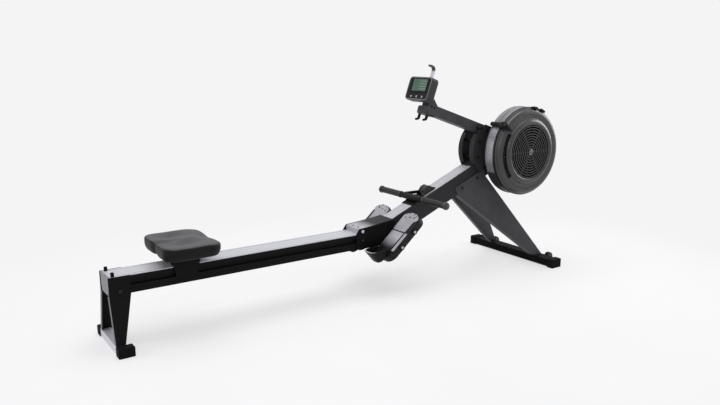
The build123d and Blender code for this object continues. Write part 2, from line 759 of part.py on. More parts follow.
# Front legs, folded along the boom's lower edge
for side, label in SIDES:
    front_leg = bent_leg(
        side,
        boom_half,
        boom_point(FRONT_LEG_START, -BOOM_DEPTH),
        boom_point(FRONT_LEG_START + FRONT_LEG_TOP_WIDTH, -BOOM_DEPTH),
        FRONT_LEG_TAB,
        (front_bar_x, FRONT_FOOT_Y),
        FRONT_LEG_FOOT_WIDTH,
        front_bar_top,
        FRONT_LEG_FLANGE,
    )
    with BuildPart() as front_leg_drilled:
        add(front_leg.part)
        for bolt in leg_boom_bolts:
            y_in = side * boom_half
            rod(bolt, BOLT_RADIUS + SHAFT_FIT, y_in, y_in + side * LEG_THICKNESS, mode=Mode.SUBTRACT)
    save(front_leg_drilled, f"front_leg_{label}")

# Footboards: thick boards with a raised outer rim, a boss on the inner side and two lugs on the outer side
board_top = -PAD_THICKNESS
board_length = TOE_LENGTH + BOARD_TOE_RIM + BOARD_TAIL
board_middle = (TOE_LENGTH + BOARD_TOE_RIM - BOARD_TAIL) / 2
rim_width = BOARD_OUTER_RIM - RIM_GROOVE
for side, label in SIDES:
    with BuildPart() as footboard:
        with BuildSketch(foot_plane(side, board_top - BOARD_THICKNESS)):
            with Locations((board_middle, side * (board_outer - board_inner) / 2)):
                RectangleRounded(board_length, board_inner + board_outer, BOARD_CORNER)
        extrude(amount=BOARD_THICKNESS)
        with BuildSketch(foot_plane(side, board_top)):
            with Locations((board_middle, side * (board_outer - rim_width / 2))):
                Rectangle(board_length - 2 * BOARD_CORNER, rim_width)
        extrude(amount=BOARD_RIM_HEIGHT)
        middle = foot_plane(side, board_top - BOARD_THICKNESS / 2)
        with Locations(middle * Location((-BOARD_TAIL / 4, -side * (board_inner + BOARD_STANDOFF / 2), 0))):
            Box(BOARD_TAIL / 2, BOARD_STANDOFF, BOARD_THICKNESS / 2)
        for place in LUG_PLACES:
            with Locations(middle * Location((place, side * (board_outer + LUG_WIDTH / 2), 0), (90, 0, 0))):
                Cylinder(LUG_RADIUS, LUG_WIDTH)
    save(footboard, f"footboard_{label}")

# Toe pads with a rounded top and a row of holes
for side, label in SIDES:
    with BuildPart() as toe_pad:
        with BuildSketch(foot_plane(side, board_top)):
            with Locations((TOE_LENGTH / 2, 0)):
                toe_outline = Rectangle(TOE_LENGTH, PAD_WIDTH)
            fillet(toe_outline.vertices().group_by(Axis.X)[-1], TOE_CORNER)
        extrude(amount=PAD_THICKNESS)
        with BuildSketch(foot_plane(side)):
            for step in (-1, 0, 1):
                with Locations((TOE_HOLE_PLACE - TOE_HOLE_CURVE * step * step, step * TOE_HOLE_SPACING)):
                    Circle(TOE_HOLE_RADIUS)
        extrude(amount=-TOE_HOLE_DEPTH, mode=Mode.SUBTRACT)
    save(toe_pad, f"toe_pad_{label}")

# Heel rests: a plate on the board with a cup round the heel, sliding along the board
heel_half = PAD_WIDTH / 2 - TOUCH_GAP
heel_middle = -HEEL_GAP - HEEL_PLATE_LENGTH / 2
heel_end = -HEEL_GAP - HEEL_PLATE_LENGTH
for side, label in SIDES:
    base = foot_plane(side)
    with BuildPart() as heel_cup:
        with BuildSketch(foot_plane(side, -PAD_THICKNESS / 2)):
            with Locations((heel_middle, 0)):
                cup_outline = Rectangle(HEEL_PLATE_LENGTH, 2 * heel_half)
            fillet(cup_outline.vertices().group_by(Axis.X)[0], HEEL_CORNER)
            offset(amount=-HEEL_CUP_WALL, mode=Mode.SUBTRACT)
            with Locations((-HEEL_CUP_START + HEEL_PLATE_LENGTH / 2, 0)):
                Rectangle(HEEL_PLATE_LENGTH, 4 * heel_half, mode=Mode.SUBTRACT)
        extrude(amount=PAD_THICKNESS / 2 + HEEL_CUP_HEIGHT)
        lip_low = base.from_local_coords((-HEEL_CUP_START, 0, HEEL_CUP_HEIGHT * HEEL_LIP_SHARE))
        lip_high = base.from_local_coords((heel_end, 0, HEEL_CUP_HEIGHT))
        lip_normal = (lip_high - lip_low).cross(Vector(0, -1, 0))
        split(bisect_by=Plane(origin=lip_low, z_dir=lip_normal), keep=Keep.BOTTOM)
    with BuildPart() as heel_rest:
        with BuildSketch(foot_plane(side, board_top + TOUCH_GAP)):
            with Locations((heel_middle, 0)):
                plate_outline = Rectangle(HEEL_PLATE_LENGTH, 2 * heel_half)
            fillet(plate_outline.vertices().group_by(Axis.X)[0], HEEL_CORNER)
        extrude(amount=PAD_THICKNESS - TOUCH_GAP)
        add(heel_cup.part)
    save(heel_rest, f"heel_rest_{label}")

# Drive frame plates: flat, with a curved flange at the rear that stops above the boom
drive_centre = (drive_x, drive_z)
boom_miss = (drive_x - boom_plane.origin.X) * -boom_sin + (drive_z - boom_plane.origin.Z) * boom_cos
flange_end = 180 + BOOM_ANGLE + degrees(asin((boom_miss - FLANGE_CLEAR) / DRIVE_RADIUS)) - FLANGE_CLEAR_ANGLE
for side, label in SIDES:
    with BuildPart() as drive_plate:
        with BuildSketch(plate_plane(side, DRIVE_INNER, DRIVE_THICKNESS)):
            with Locations(drive_centre):
                Circle(DRIVE_RADIUS)
            with Locations(Location((*arm_point(0, ARM_DEPTH / 2 + DRIVE_RADIUS), 0), (0, 0, -ARM_ANGLE))):
                Rectangle(4 * DRIVE_RADIUS, 2 * DRIVE_RADIUS, mode=Mode.SUBTRACT)
            with Locations(fan_centre):
                Circle(DRIVE_NOSE_RADIUS)
            make_hull()
            tab_top = -BOOM_DEPTH + FRONT_LEG_TAB + TOUCH_GAP
            under_boom = boom_point(BOOM_END - DRIVE_RADIUS, tab_top - DRIVE_RADIUS)
            with Locations(Location((*under_boom, 0), (0, 0, BOOM_ANGLE))):
                Rectangle(2 * DRIVE_RADIUS, 2 * DRIVE_RADIUS, mode=Mode.SUBTRACT)
            with Locations(fan_centre):
                Circle(BEARING_RADIUS, mode=Mode.SUBTRACT)
            with Locations(drive_boom_bolts + drive_cross_bolts + arm_bolts):
                Circle(BOLT_RADIUS + SHAFT_FIT, mode=Mode.SUBTRACT)
        extrude(amount=DRIVE_THICKNESS)
        with BuildSketch(plate_plane(side, drive_outer - DRIVE_FLANGE, DRIVE_FLANGE - DRIVE_THICKNESS / 2)):
            with BuildLine():
                CenterArc(drive_centre, DRIVE_RADIUS - DRIVE_THICKNESS / 2, DRIVE_FLANGE_TOP,
                          flange_end - DRIVE_FLANGE_TOP)
            trace(line_width=DRIVE_THICKNESS)
        extrude(amount=DRIVE_FLANGE - DRIVE_THICKNESS / 2)
    save(drive_plate, f"drive_plate_{label}")

# Axle bearings with their flanges on the inside of the plates
with BuildPart() as axle_bearings:
    for side, _ in SIDES:
        rod(fan_centre, BEARING_RADIUS - SHAFT_FIT, side * DRIVE_INNER, side * drive_outer)
        rod(fan_centre, BEARING_FLANGE, side * (DRIVE_INNER - BEARING_DEPTH), side * DRIVE_INNER)
    rod(fan_centre, AXLE_RADIUS + SHAFT_FIT, -drive_outer, drive_outer, mode=Mode.SUBTRACT)
save(axle_bearings, "axle_bearings")

# Fan back plate, on a boss that stands on the right drive plate
with BuildPart() as fan_back_plate:
    rod(fan_centre, DRUM_RADIUS - DRUM_RING, -plate_back, -drum_back)
    rod(fan_centre, STANDOFF_RADIUS, -drive_outer, -plate_back)
    rod(fan_centre, BEARING_FLANGE, -drive_outer, -drum_back, mode=Mode.SUBTRACT)
save(fan_back_plate, "fan_back_plate")

# Fan drum: thin band with a raised ring at each edge
with BuildPart() as fan_drum:
    band_radius = DRUM_RADIUS - DRUM_RING
    rod(fan_centre, band_radius, -drum_back, -drum_front)
    for edge in (drum_back, drum_front - DRUM_RING_WIDTH):
        rod(fan_centre, DRUM_RADIUS, -edge, -edge - DRUM_RING_WIDTH)
    rod(fan_centre, band_radius - DRUM_WALL, -drum_back, -drum_front, mode=Mode.SUBTRACT)
save(fan_drum, "fan_drum")

# Fan cover: a rounded shell with a raised ring round its opening
with BuildPart() as fan_cover:
    with BuildSketch(fan_profile):
        with BuildLine():
            lip = drum_front + COVER_WALL
            Polyline(
                (COVER_RADIUS, -cover_face + COVER_ROUND),
                (COVER_RADIUS, -lip),
                (DRUM_RADIUS - DRUM_RING, -lip),
                (DRUM_RADIUS - DRUM_RING, -drum_front),
                (COVER_RADIUS - COVER_WALL, -drum_front),
                (COVER_RADIUS - COVER_WALL, -cover_face + COVER_ROUND),
                (COVER_RADIUS - COVER_ROUND, -cover_face + COVER_WALL),
                (GRILLE_RADIUS, -cover_face + COVER_WALL),
                (GRILLE_RADIUS, -ring_face),
                (RING_RADIUS - RING_RISE / 2, -ring_face),
                (RING_RADIUS, -cover_face),
                (COVER_RADIUS - COVER_ROUND, -cover_face),
            )
            RadiusArc(
                (COVER_RADIUS - COVER_ROUND, -cover_face),
                (COVER_RADIUS, -cover_face + COVER_ROUND),
                -COVER_ROUND,
            )
        make_face()
    revolve(axis=fan_axis)
save(fan_cover, "fan_cover")

# Round grille: rings carried on spokes, with a disc at the hub
grille_pitch = (GRILLE_RADIUS - HUB_RADIUS) / GRILLE_RINGS
grille_back = ring_face - GRILLE_DEPTH - GRILLE_DROP
with BuildPart() as fan_grille:
    for count in range(GRILLE_RINGS):
        outer = GRILLE_RADIUS - SHAFT_FIT - count * grille_pitch
        with BuildSketch(Plane.XZ.offset(grille_back)):
            with Locations(fan_centre):
                Circle(outer)
                Circle(outer - GRILLE_BAR, mode=Mode.SUBTRACT)
        extrude(amount=GRILLE_DEPTH)
    rod(fan_centre, HUB_RADIUS, -grille_back, -grille_back - GRILLE_DEPTH)
    with BuildSketch(Plane.XZ.offset(grille_back)):
        with Locations(fan_centre):
            with PolarLocations((HUB_RADIUS + GRILLE_RADIUS - GRILLE_BAR) / 2, GRILLE_SPOKES):
                Rectangle(GRILLE_RADIUS - GRILLE_BAR - HUB_RADIUS + 2 * SPOKE_OVERLAP, GRILLE_BAR)
    extrude(amount=GRILLE_DEPTH / 2)
save(fan_grille, "fan_grille")

# Axle, turning with the rotor
rotor_back = drum_back + ROTOR_GAP
rotor_front = rotor_back + ROTOR_WIDTH
with BuildPart() as fan_axle:
    rod(fan_centre, AXLE_RADIUS, drive_outer + BEARING_DEPTH, -rotor_front - BEARING_DEPTH)
save(fan_axle, "fan_axle")

# Fan rotor: disc, hub and radial blades
with BuildPart() as fan_rotor:
    rod(fan_centre, ROTOR_RADIUS, -rotor_back, -rotor_back - ROTOR_DISC)
    rod(fan_centre, ROTOR_HUB, -rotor_back, -rotor_front)
    with BuildSketch(Plane.XZ.offset(rotor_back + ROTOR_DISC)):
        with Locations(fan_centre):
            with PolarLocations((ROTOR_HUB + ROTOR_RADIUS) / 2 - BLADE_INSET, ROTOR_BLADES):
                Rectangle(ROTOR_RADIUS - ROTOR_HUB, BLADE_THICKNESS)
    extrude(amount=ROTOR_WIDTH - ROTOR_DISC)
    rod(fan_centre, AXLE_RADIUS, -rotor_back, -rotor_front, mode=Mode.SUBTRACT)
save(fan_rotor, "fan_rotor")

# Damper: a curved shutter round the drum with a knob and a pointer over the cover's shoulder
with BuildPart() as damper:
    shutter_inner = DRUM_RADIUS + TOUCH_GAP
    with BuildSketch(Plane.XZ.offset(drum_back)):
        with BuildLine():
            shutter_middle = shutter_inner + DAMPER_THICKNESS / 2
            CenterArc(fan_centre, shutter_middle, DAMPER_ANGLE - DAMPER_SPAN, DAMPER_SPAN)
        trace(line_width=DAMPER_THICKNESS)
    extrude(amount=DRUM_WIDTH)
    knob = Plane(
        origin=(fan_axis.position.X, 0, fan_axis.position.Z),
        x_dir=(cos(radians(DAMPER_ANGLE)), 0, sin(radians(DAMPER_ANGLE))),
        z_dir=(0, -1, 0),
    )
    with BuildSketch(knob.offset(drum_back)):
        with Locations((shutter_inner + (DAMPER_KNOB_HEIGHT + DAMPER_THICKNESS) / 2, 0)):
            RectangleRounded(DAMPER_KNOB_HEIGHT + DAMPER_THICKNESS, DAMPER_KNOB_WIDTH / 2, DAMPER_THICKNESS)
    extrude(amount=DRUM_WIDTH + COVER_DEPTH + TOUCH_GAP + DAMPER_THICKNESS)
    with BuildSketch(knob.offset(cover_face + TOUCH_GAP)):
        with Locations((shutter_inner + DAMPER_THICKNESS - DAMPER_POINTER_DROP / 2, 0)):
            Rectangle(DAMPER_POINTER_DROP, DAMPER_KNOB_WIDTH / 3)
    extrude(amount=DAMPER_THICKNESS)
save(damper, "damper")

# Monitor arm: box tube from between the drive plates up towards the rower
arm_angle_plane = Plane(
    origin=(arm_point(0, 0)[0], 0, arm_point(0, 0)[1]),
    x_dir=(0, 1, 0),
    z_dir=(-cos(radians(ARM_ANGLE)), 0, sin(radians(ARM_ANGLE))),
)
with BuildPart() as monitor_arm:
    with BuildSketch(arm_angle_plane):
        Rectangle(ARM_WIDTH, ARM_DEPTH)
        Rectangle(ARM_WIDTH - 2 * ARM_WALL, ARM_DEPTH - 2 * ARM_WALL, mode=Mode.SUBTRACT)
    extrude(amount=ARM_LENGTH)
    for side, _ in SIDES:
        for bolt in arm_bolts:
            y_in = side * (ARM_WIDTH / 2 - ARM_WALL)
            rod(bolt, BOLT_RADIUS + SHAFT_FIT, y_in, side * ARM_WIDTH / 2, mode=Mode.SUBTRACT)
save(monitor_arm, "monitor_arm")

# Arm bracket: a saddle and nose on the arm's end, with two ears for the monitor and two hooks below
pivot = arm_point(ARM_LENGTH + PIVOT_AHEAD, PIVOT_RISE)
arm_half = ARM_DEPTH / 2
bracket_half = HOOK_Y + HOOK_WIDTH / 2
hook_start = arm_point(ARM_LENGTH + HOOK_AHEAD, -arm_half - ARM_PLATE / 2)
hook_low = (hook_start[0] - HOOK_LEAN, hook_start[1] - HOOK_DROP)
hook_tip = (hook_start[0] - HOOK_REACH, hook_low[1] - HOOK_TIP_DROP)
with BuildPart() as arm_bracket:
    with BuildSketch(Plane.XZ.offset(-ARM_WIDTH / 2)):
        with BuildLine():
            Polyline(
                arm_point(ARM_LENGTH - ARM_WRAP, arm_half),
                arm_point(ARM_LENGTH, arm_half),
                arm_point(ARM_LENGTH, -arm_half),
                arm_point(ARM_LENGTH - ARM_WRAP, -arm_half),
                arm_point(ARM_LENGTH - ARM_WRAP, -arm_half - ARM_PLATE),
                arm_point(ARM_LENGTH + ARM_NOSE - ARM_PLATE, -arm_half - ARM_PLATE),
                arm_point(ARM_LENGTH + ARM_NOSE, -arm_half),
                arm_point(ARM_LENGTH + ARM_NOSE, ARM_NOSE_TOP - ARM_PLATE),
                arm_point(ARM_LENGTH + ARM_NOSE - ARM_PLATE, ARM_NOSE_TOP),
                arm_point(ARM_LENGTH + ARM_PLATE, ARM_NOSE_TOP),
                arm_point(ARM_LENGTH + ARM_PLATE, arm_half + ARM_PLATE),
                arm_point(ARM_LENGTH - ARM_WRAP, arm_half + ARM_PLATE),
                close=True,
            )
        make_face()
    extrude(amount=ARM_WIDTH)
    with BuildSketch(Plane.XZ.offset(-bracket_half)):
        with Locations(Location((*hook_start, 0), (0, 0, -ARM_ANGLE))):
            Rectangle(2 * HOOK_WIDTH, ARM_PLATE)
    extrude(amount=2 * bracket_half)
    for side, _ in SIDES:
        with BuildSketch(plate_plane(side, EAR_INNER, EAR_THICKNESS)):
            with Locations(pivot):
                Circle(EAR_RADIUS)
            with BuildLine():
                Polyline(
                    arm_point(ARM_LENGTH - ARM_WRAP, arm_half + ARM_PLATE / 2),
                    arm_point(ARM_LENGTH, arm_half + ARM_PLATE / 2),
                    arm_point(ARM_LENGTH, arm_half + ARM_PLATE),
                    arm_point(ARM_LENGTH - ARM_WRAP, arm_half + ARM_PLATE),
                    close=True,
                )
            make_face()
            make_hull()
        extrude(amount=EAR_THICKNESS)
        with BuildSketch(plate_plane(side, HOOK_Y - HOOK_WIDTH / 2, HOOK_WIDTH)):
            with BuildLine():
                FilletPolyline(hook_start, hook_low, hook_tip, radius=HOOK_BEND)
            trace(line_width=HOOK_THICKNESS)
        extrude(amount=HOOK_WIDTH)
    rod(pivot, PIVOT_RADIUS, -EAR_INNER - EAR_THICKNESS, EAR_INNER + EAR_THICKNESS)
    with BuildSketch(Plane.XZ.offset(-bracket_half)):
        with Locations(Location((*arm_point(ARM_LENGTH - ARM_WRAP / 2, 0), 0), (0, 0, -ARM_ANGLE))):
            Rectangle(ARM_WRAP, ARM_DEPTH)
    extrude(amount=2 * bracket_half, mode=Mode.SUBTRACT)
save(arm_bracket, "arm_bracket")


# Monitor plane: local x to the rower's right, local y up the face, local z out of the face
def monitor_plane(rise=0):
    c = cos(radians(MONITOR_TILT))
    s = sin(radians(MONITOR_TILT))
    out = MONITOR_DEPTH + PIVOT_SETBACK + rise
    x = pivot[0] - out * c + PIVOT_DROP * s
    z = pivot[1] + out * s + PIVOT_DROP * c
    return Plane(origin=(x, 0, z), x_dir=(0, -1, 0), z_dir=(-c, 0, s))


# Monitor case with the tilt lug and the hook rod's sleeve on its back
sleeve_depth = ROD_THICKNESS + 2 * SLEEVE_WALL
with BuildPart() as monitor_case:
    with BuildSketch(monitor_plane(-MONITOR_DEPTH)):
        RectangleRounded(MONITOR_WIDTH, MONITOR_HEIGHT, MONITOR_CORNER)
    extrude(amount=MONITOR_DEPTH)
    back_edges = monitor_case.faces().sort_by(Axis.X)[-1].edges()
    chamfer(back_edges, MONITOR_BACK_CHAMFER)
    with BuildSketch(monitor_plane()):
        with Locations((0, SCREEN_RISE)):
            Rectangle(SCREEN_WIDTH, SCREEN_HEIGHT)
    extrude(amount=-SCREEN_THICKNESS, mode=Mode.SUBTRACT)
    with BuildSketch(monitor_plane()):
        with Locations((0, -BUTTON_DROP)):
            with GridLocations(BUTTON_SPACING, 1, 3, 1):
                Circle(BUTTON_RADIUS + TOUCH_GAP)
    extrude(amount=-(BUTTON_HEIGHT - BUTTON_PROUD + BUTTON_TRAVEL + TOUCH_GAP), mode=Mode.SUBTRACT)
    with BuildSketch(Plane.XZ.offset(-(EAR_INNER - TOUCH_GAP))):
        with Locations(pivot):
            Circle(EAR_RADIUS - LUG_STEP)
        lug_root = monitor_plane(-MONITOR_DEPTH + LUG_ROOT)
        with BuildLine():
            lug_low = lug_root.from_local_coords((0, -PIVOT_DROP - EAR_RADIUS, 0))
            lug_high = lug_root.from_local_coords((0, -PIVOT_DROP + EAR_RADIUS, 0))
            lug_back = monitor_plane(-MONITOR_DEPTH).from_local_coords((0, -PIVOT_DROP, 0))
            Polyline((lug_low.X, lug_low.Z), (lug_high.X, lug_high.Z), (lug_back.X, lug_back.Z), close=True)
        make_face()
        make_hull()
    extrude(amount=2 * (EAR_INNER - TOUCH_GAP))
    rod(pivot, PIVOT_RADIUS + SHAFT_FIT, -EAR_INNER, EAR_INNER, mode=Mode.SUBTRACT)
    with BuildSketch(monitor_plane(-MONITOR_DEPTH - sleeve_depth)):
        with Locations((0, SLEEVE_RISE)):
            Rectangle(SLEEVE_WIDTH, SLEEVE_HEIGHT)
    extrude(amount=sleeve_depth)
    with BuildSketch(monitor_plane(-MONITOR_DEPTH - SLEEVE_WALL - ROD_THICKNESS - SHAFT_FIT)):
        with Locations((0, SLEEVE_RISE)):
            Rectangle(ROD_WIDTH + 2 * SHAFT_FIT, SLEEVE_HEIGHT)
    extrude(amount=ROD_THICKNESS + 2 * SHAFT_FIT, mode=Mode.SUBTRACT)
save(monitor_case, "monitor_case")

# Screen glass in its pocket
with BuildPart() as monitor_screen:
    with BuildSketch(monitor_plane(-SCREEN_THICKNESS)):
        with Locations((0, SCREEN_RISE)):
            Rectangle(SCREEN_WIDTH - 2 * SHAFT_FIT, SCREEN_HEIGHT - 2 * SHAFT_FIT)
    extrude(amount=SCREEN_THICKNESS)
save(monitor_screen, "monitor_screen")

# Buttons
for count, label in enumerate(("left", "middle", "right")):
    with BuildPart() as button:
        with BuildSketch(monitor_plane(BUTTON_PROUD - BUTTON_HEIGHT)):
            with Locations(((count - 1) * BUTTON_SPACING, -BUTTON_DROP)):
                Circle(BUTTON_RADIUS)
        extrude(amount=BUTTON_HEIGHT)
        fillet(button.faces().sort_by(Axis.X)[0].edges(), BUTTON_PROUD / 2)
    save(button, f"button_{label}")

# Upper hook: a flat rod in the sleeve, bent over the top of the monitor
rod_depth = MONITOR_DEPTH + SLEEVE_WALL + ROD_THICKNESS / 2


def monitor_side(rise, height):
    """Point in X and Z beside the monitor's middle."""
    place = monitor_plane(rise).from_local_coords((0, height, 0))
    return place.X, place.Z


with BuildPart() as upper_hook:
    with BuildSketch(Plane.XZ.offset(-ROD_WIDTH / 2)):
        with BuildLine():
            FilletPolyline(
                monitor_side(-rod_depth, ROD_START),
                monitor_side(-rod_depth, ROD_TOP),
                monitor_side(-rod_depth + ROD_REACH, ROD_TOP),
                radius=ROD_BEND,
            )
        trace(line_width=ROD_THICKNESS)
    extrude(amount=ROD_WIDTH)
save(upper_hook, "upper_hook")

# Chain guide: two cheeks on the boom that carry the roller
roller_centre = boom_point(ROLLER_ALONG, ROLLER_RISE)
cheek_inner = ROLLER_WIDTH / 2 + 2 * FORK_GAP
with BuildPart() as chain_guide:
    for side, _ in SIDES:
        with BuildSketch(plate_plane(side, cheek_inner, GUIDE_CHEEK)):
            with Locations(roller_centre):
                Circle(ROLLER_RADIUS - CHEEK_STEP)
            with BuildLine():
                Polyline(
                    boom_point(ROLLER_ALONG - GUIDE_LENGTH / 2, 0),
                    boom_point(ROLLER_ALONG + GUIDE_LENGTH / 2, 0),
                    boom_point(ROLLER_ALONG + GUIDE_LENGTH / 2, ROLLER_RISE),
                    boom_point(ROLLER_ALONG - GUIDE_LENGTH / 2, ROLLER_RISE),
                    close=True,
                )
            make_face()
            make_hull()
        extrude(amount=GUIDE_CHEEK)
    boom_side = Plane(origin=boom_plane.origin, z_dir=boom_plane.z_dir)
    split(bisect_by=boom_side, keep=Keep.TOP)
    rod(roller_centre, ROLLER_PIN, -cheek_inner - GUIDE_CHEEK, cheek_inner + GUIDE_CHEEK)
save(chain_guide, "chain_guide")

# Guide roller
with BuildPart() as guide_roller:
    ring(roller_centre, ROLLER_RADIUS, ROLLER_PIN + SHAFT_FIT, -ROLLER_WIDTH / 2, ROLLER_WIDTH / 2)
save(guide_roller, "guide_roller")

# Sprocket on the axle
with BuildPart() as sprocket:
    rod(fan_centre, SPROCKET_RADIUS - TOOTH_LENGTH / 2, -SPROCKET_THICKNESS / 2, SPROCKET_THICKNESS / 2)
    rod(fan_centre, SPROCKET_HUB, -CHAIN_WIDTH, CHAIN_WIDTH)
    with BuildSketch(Plane.XZ.offset(-SPROCKET_THICKNESS / 2)):
        with Locations(fan_centre):
            with PolarLocations(SPROCKET_RADIUS - TOOTH_LENGTH / 2, SPROCKET_TEETH):
                Rectangle(TOOTH_LENGTH, SPROCKET_RADIUS / 6)
    extrude(amount=SPROCKET_THICKNESS)
    rod(fan_centre, AXLE_RADIUS + SHAFT_FIT, -CHAIN_WIDTH, CHAIN_WIDTH, mode=Mode.SUBTRACT)
save(sprocket, "sprocket")

# Cord pulleys
for centre, label in ((front_pulley, "front"), (rear_pulley, "rear")):
    with BuildPart() as pulley:
        ring(centre, PULLEY_RADIUS, PULLEY_PIN + SHAFT_FIT, -PULLEY_WIDTH / 2, PULLEY_WIDTH / 2)
    save(pulley, f"cord_pulley_{label}")

# Handle places
handle_centre = boom_point(HANDLE_ALONG, HANDLE_RISE)
eye_centre = boom_point(HANDLE_ALONG + YOKE_REACH, HANDLE_RISE)

# Chain: from the handle's eye under the guide roller, over the sprocket and back under the front pulley
roller_reach = ROLLER_RADIUS + TOUCH_GAP + CHAIN_HEIGHT / 2
span = (fan_centre[0] - roller_centre[0], fan_centre[1] - roller_centre[1])
pull_angle = degrees(atan2(span[1], span[0]) + asin((roller_reach + sprocket_reach) / hypot(*span)))
eye_offset = (eye_centre[0] - roller_centre[0], eye_centre[1] - roller_centre[1])
eye_angle = degrees(atan2(eye_offset[1], eye_offset[0])) % 360
eye_touch = eye_angle + degrees(acos(roller_reach / hypot(*eye_offset)))
eye_line = around(roller_centre, roller_reach, eye_touch)
eye_length = hypot(eye_centre[0] - eye_line[0], eye_centre[1] - eye_line[1])
eye_share = (EYE_PIN + TOUCH_GAP) / eye_length
chain_start = (
    eye_centre[0] + (eye_line[0] - eye_centre[0]) * eye_share,
    eye_centre[1] + (eye_line[1] - eye_centre[1]) * eye_share,
)
chain_end = (REAR + CORD_JOIN, cord_level)
with BuildPart() as drive_chain:
    with BuildSketch(Plane.XZ.offset(-CHAIN_WIDTH / 2)):
        with BuildLine():
            Line(chain_start, eye_line)
            CenterArc(roller_centre, roller_reach, eye_touch, 270 + pull_angle - eye_touch)
            Line(
                around(roller_centre, roller_reach, 270 + pull_angle),
                around(fan_centre, sprocket_reach, 90 + pull_angle),
            )
            CenterArc(fan_centre, sprocket_reach, 90 + pull_angle, BOOM_ANGLE - pull_angle - 180)
            Line(return_start, around(front_pulley, front_pulley_reach, BOOM_ANGLE - 90))
            CenterArc(front_pulley, front_pulley_reach, BOOM_ANGLE - 90, -BOOM_ANGLE)
            Line(around(front_pulley, front_pulley_reach, -90), chain_end)
        trace(line_width=CHAIN_HEIGHT)
    extrude(amount=CHAIN_WIDTH)
save(drive_chain, "drive_chain")

# Elastic return cord: from the chain's end round the rear pulley to a pin near the rail's front
cord_top = rear_pulley[1] + rear_reach
cord_anchor = (rail_front - CORD_ANCHOR_BACK, cord_top)
with BuildPart() as return_cord:
    with BuildLine() as cord_path:
        Line((chain_end[0], 0, cord_level), (rear_pulley[0], 0, cord_level))
        ThreePointArc(
            (rear_pulley[0], 0, cord_level),
            (rear_pulley[0] - rear_reach, 0, rear_pulley[1]),
            (rear_pulley[0], 0, cord_top),
        )
        Line((rear_pulley[0], 0, cord_top), (cord_anchor[0], 0, cord_top))
    with BuildSketch(Plane(origin=(chain_end[0], 0, chain_end[1]), z_dir=(-1, 0, 0))):
        Circle(CORD_RADIUS)
    sweep()
save(return_cord, "return_cord")

# Handle bar
bar_end = HANDLE_LENGTH / 2 - GRIP_END
with BuildPart() as handle_bar:
    rod(handle_centre, HANDLE_RADIUS, -bar_end, bar_end)
save(handle_bar, "handle_bar")

# Grips with flanged ends over the bar
with BuildPart() as handle_grips:
    for side, _ in SIDES:
        tip = side * HANDLE_LENGTH / 2
        rod(handle_centre, GRIP_RADIUS, tip, tip - side * GRIP_LENGTH)
    fillet(handle_grips.edges().filter_by(GeomType.CIRCLE), 3)
    rod(handle_centre, HANDLE_RADIUS, -bar_end, bar_end, mode=Mode.SUBTRACT)
save(handle_grips, "handle_grips")

# Yoke: flat triangle with a window, clamped round the bar, forked at the chain's eye
yoke_plane = Plane(
    origin=(handle_centre[0], 0, handle_centre[1]),
    x_dir=(boom_cos, 0, boom_sin),
    z_dir=(-boom_sin, 0, boom_cos),
)
with BuildPart() as handle_yoke:
    with BuildSketch(yoke_plane.offset(-YOKE_THICKNESS / 2)):
        with BuildLine():
            Polyline(
                (0, -YOKE_HALF_WIDTH),
                (YOKE_BAND, -YOKE_HALF_WIDTH),
                (YOKE_REACH, -FORK_HALF_WIDTH),
                (YOKE_REACH, FORK_HALF_WIDTH),
                (YOKE_BAND, YOKE_HALF_WIDTH),
                (0, YOKE_HALF_WIDTH),
                close=True,
            )
        make_face()
        with BuildLine():
            Polyline(
                (WINDOW_START, -YOKE_HALF_WIDTH + WINDOW_SIDE),
                (YOKE_REACH - WINDOW_END, 0),
                (WINDOW_START, YOKE_HALF_WIDTH - WINDOW_SIDE),
                close=True,
            )
        make_face(mode=Mode.SUBTRACT)
    extrude(amount=YOKE_THICKNESS)
    rod(handle_centre, HANDLE_RADIUS + YOKE_SLEEVE, -YOKE_HALF_WIDTH, YOKE_HALF_WIDTH)
    for side, _ in SIDES:
        rod(eye_centre, EYE_RADIUS, side * (CHAIN_WIDTH / 2 + EYE_GAP), side * FORK_HALF_WIDTH)
    with BuildSketch(yoke_plane.offset(-YOKE_THICKNESS)):
        with Locations((YOKE_REACH + EYE_RADIUS / 2, 0)):
            Rectangle(3 * EYE_RADIUS, CHAIN_WIDTH + 2 * EYE_GAP)
    extrude(amount=2 * YOKE_THICKNESS, mode=Mode.SUBTRACT)
    rod(eye_centre, EYE_PIN, -EYE_RADIUS, EYE_RADIUS)
    rod(handle_centre, HANDLE_RADIUS, -YOKE_HALF_WIDTH, YOKE_HALF_WIDTH, mode=Mode.SUBTRACT)
save(handle_yoke, "handle_yoke")

# Handle rest: a base plate on the boom behind the chain slot, with a low saddle under the yoke's clamp
saddle_radius = HANDLE_RADIUS + YOKE_SLEEVE + TOUCH_GAP
with BuildPart() as handle_rest:
    with BuildSketch(boom_plane):
        with Locations((ROLLER_ALONG - GUIDE_LENGTH / 2 - TOUCH_GAP - REST_LENGTH / 2, 0)):
            Rectangle(REST_LENGTH, 2 * REST_HALF_WIDTH)
    extrude(amount=REST_BASE)
    with BuildSketch(boom_plane):
        with Locations((HANDLE_ALONG, 0)):
            RectangleRounded(REST_SADDLE, 2 * REST_HALF_WIDTH, REST_BASE)
    extrude(amount=HANDLE_RISE - HANDLE_RADIUS)
    rod(handle_centre, saddle_radius, -REST_HALF_WIDTH, REST_HALF_WIDTH, mode=Mode.SUBTRACT)
save(handle_rest, "handle_rest")

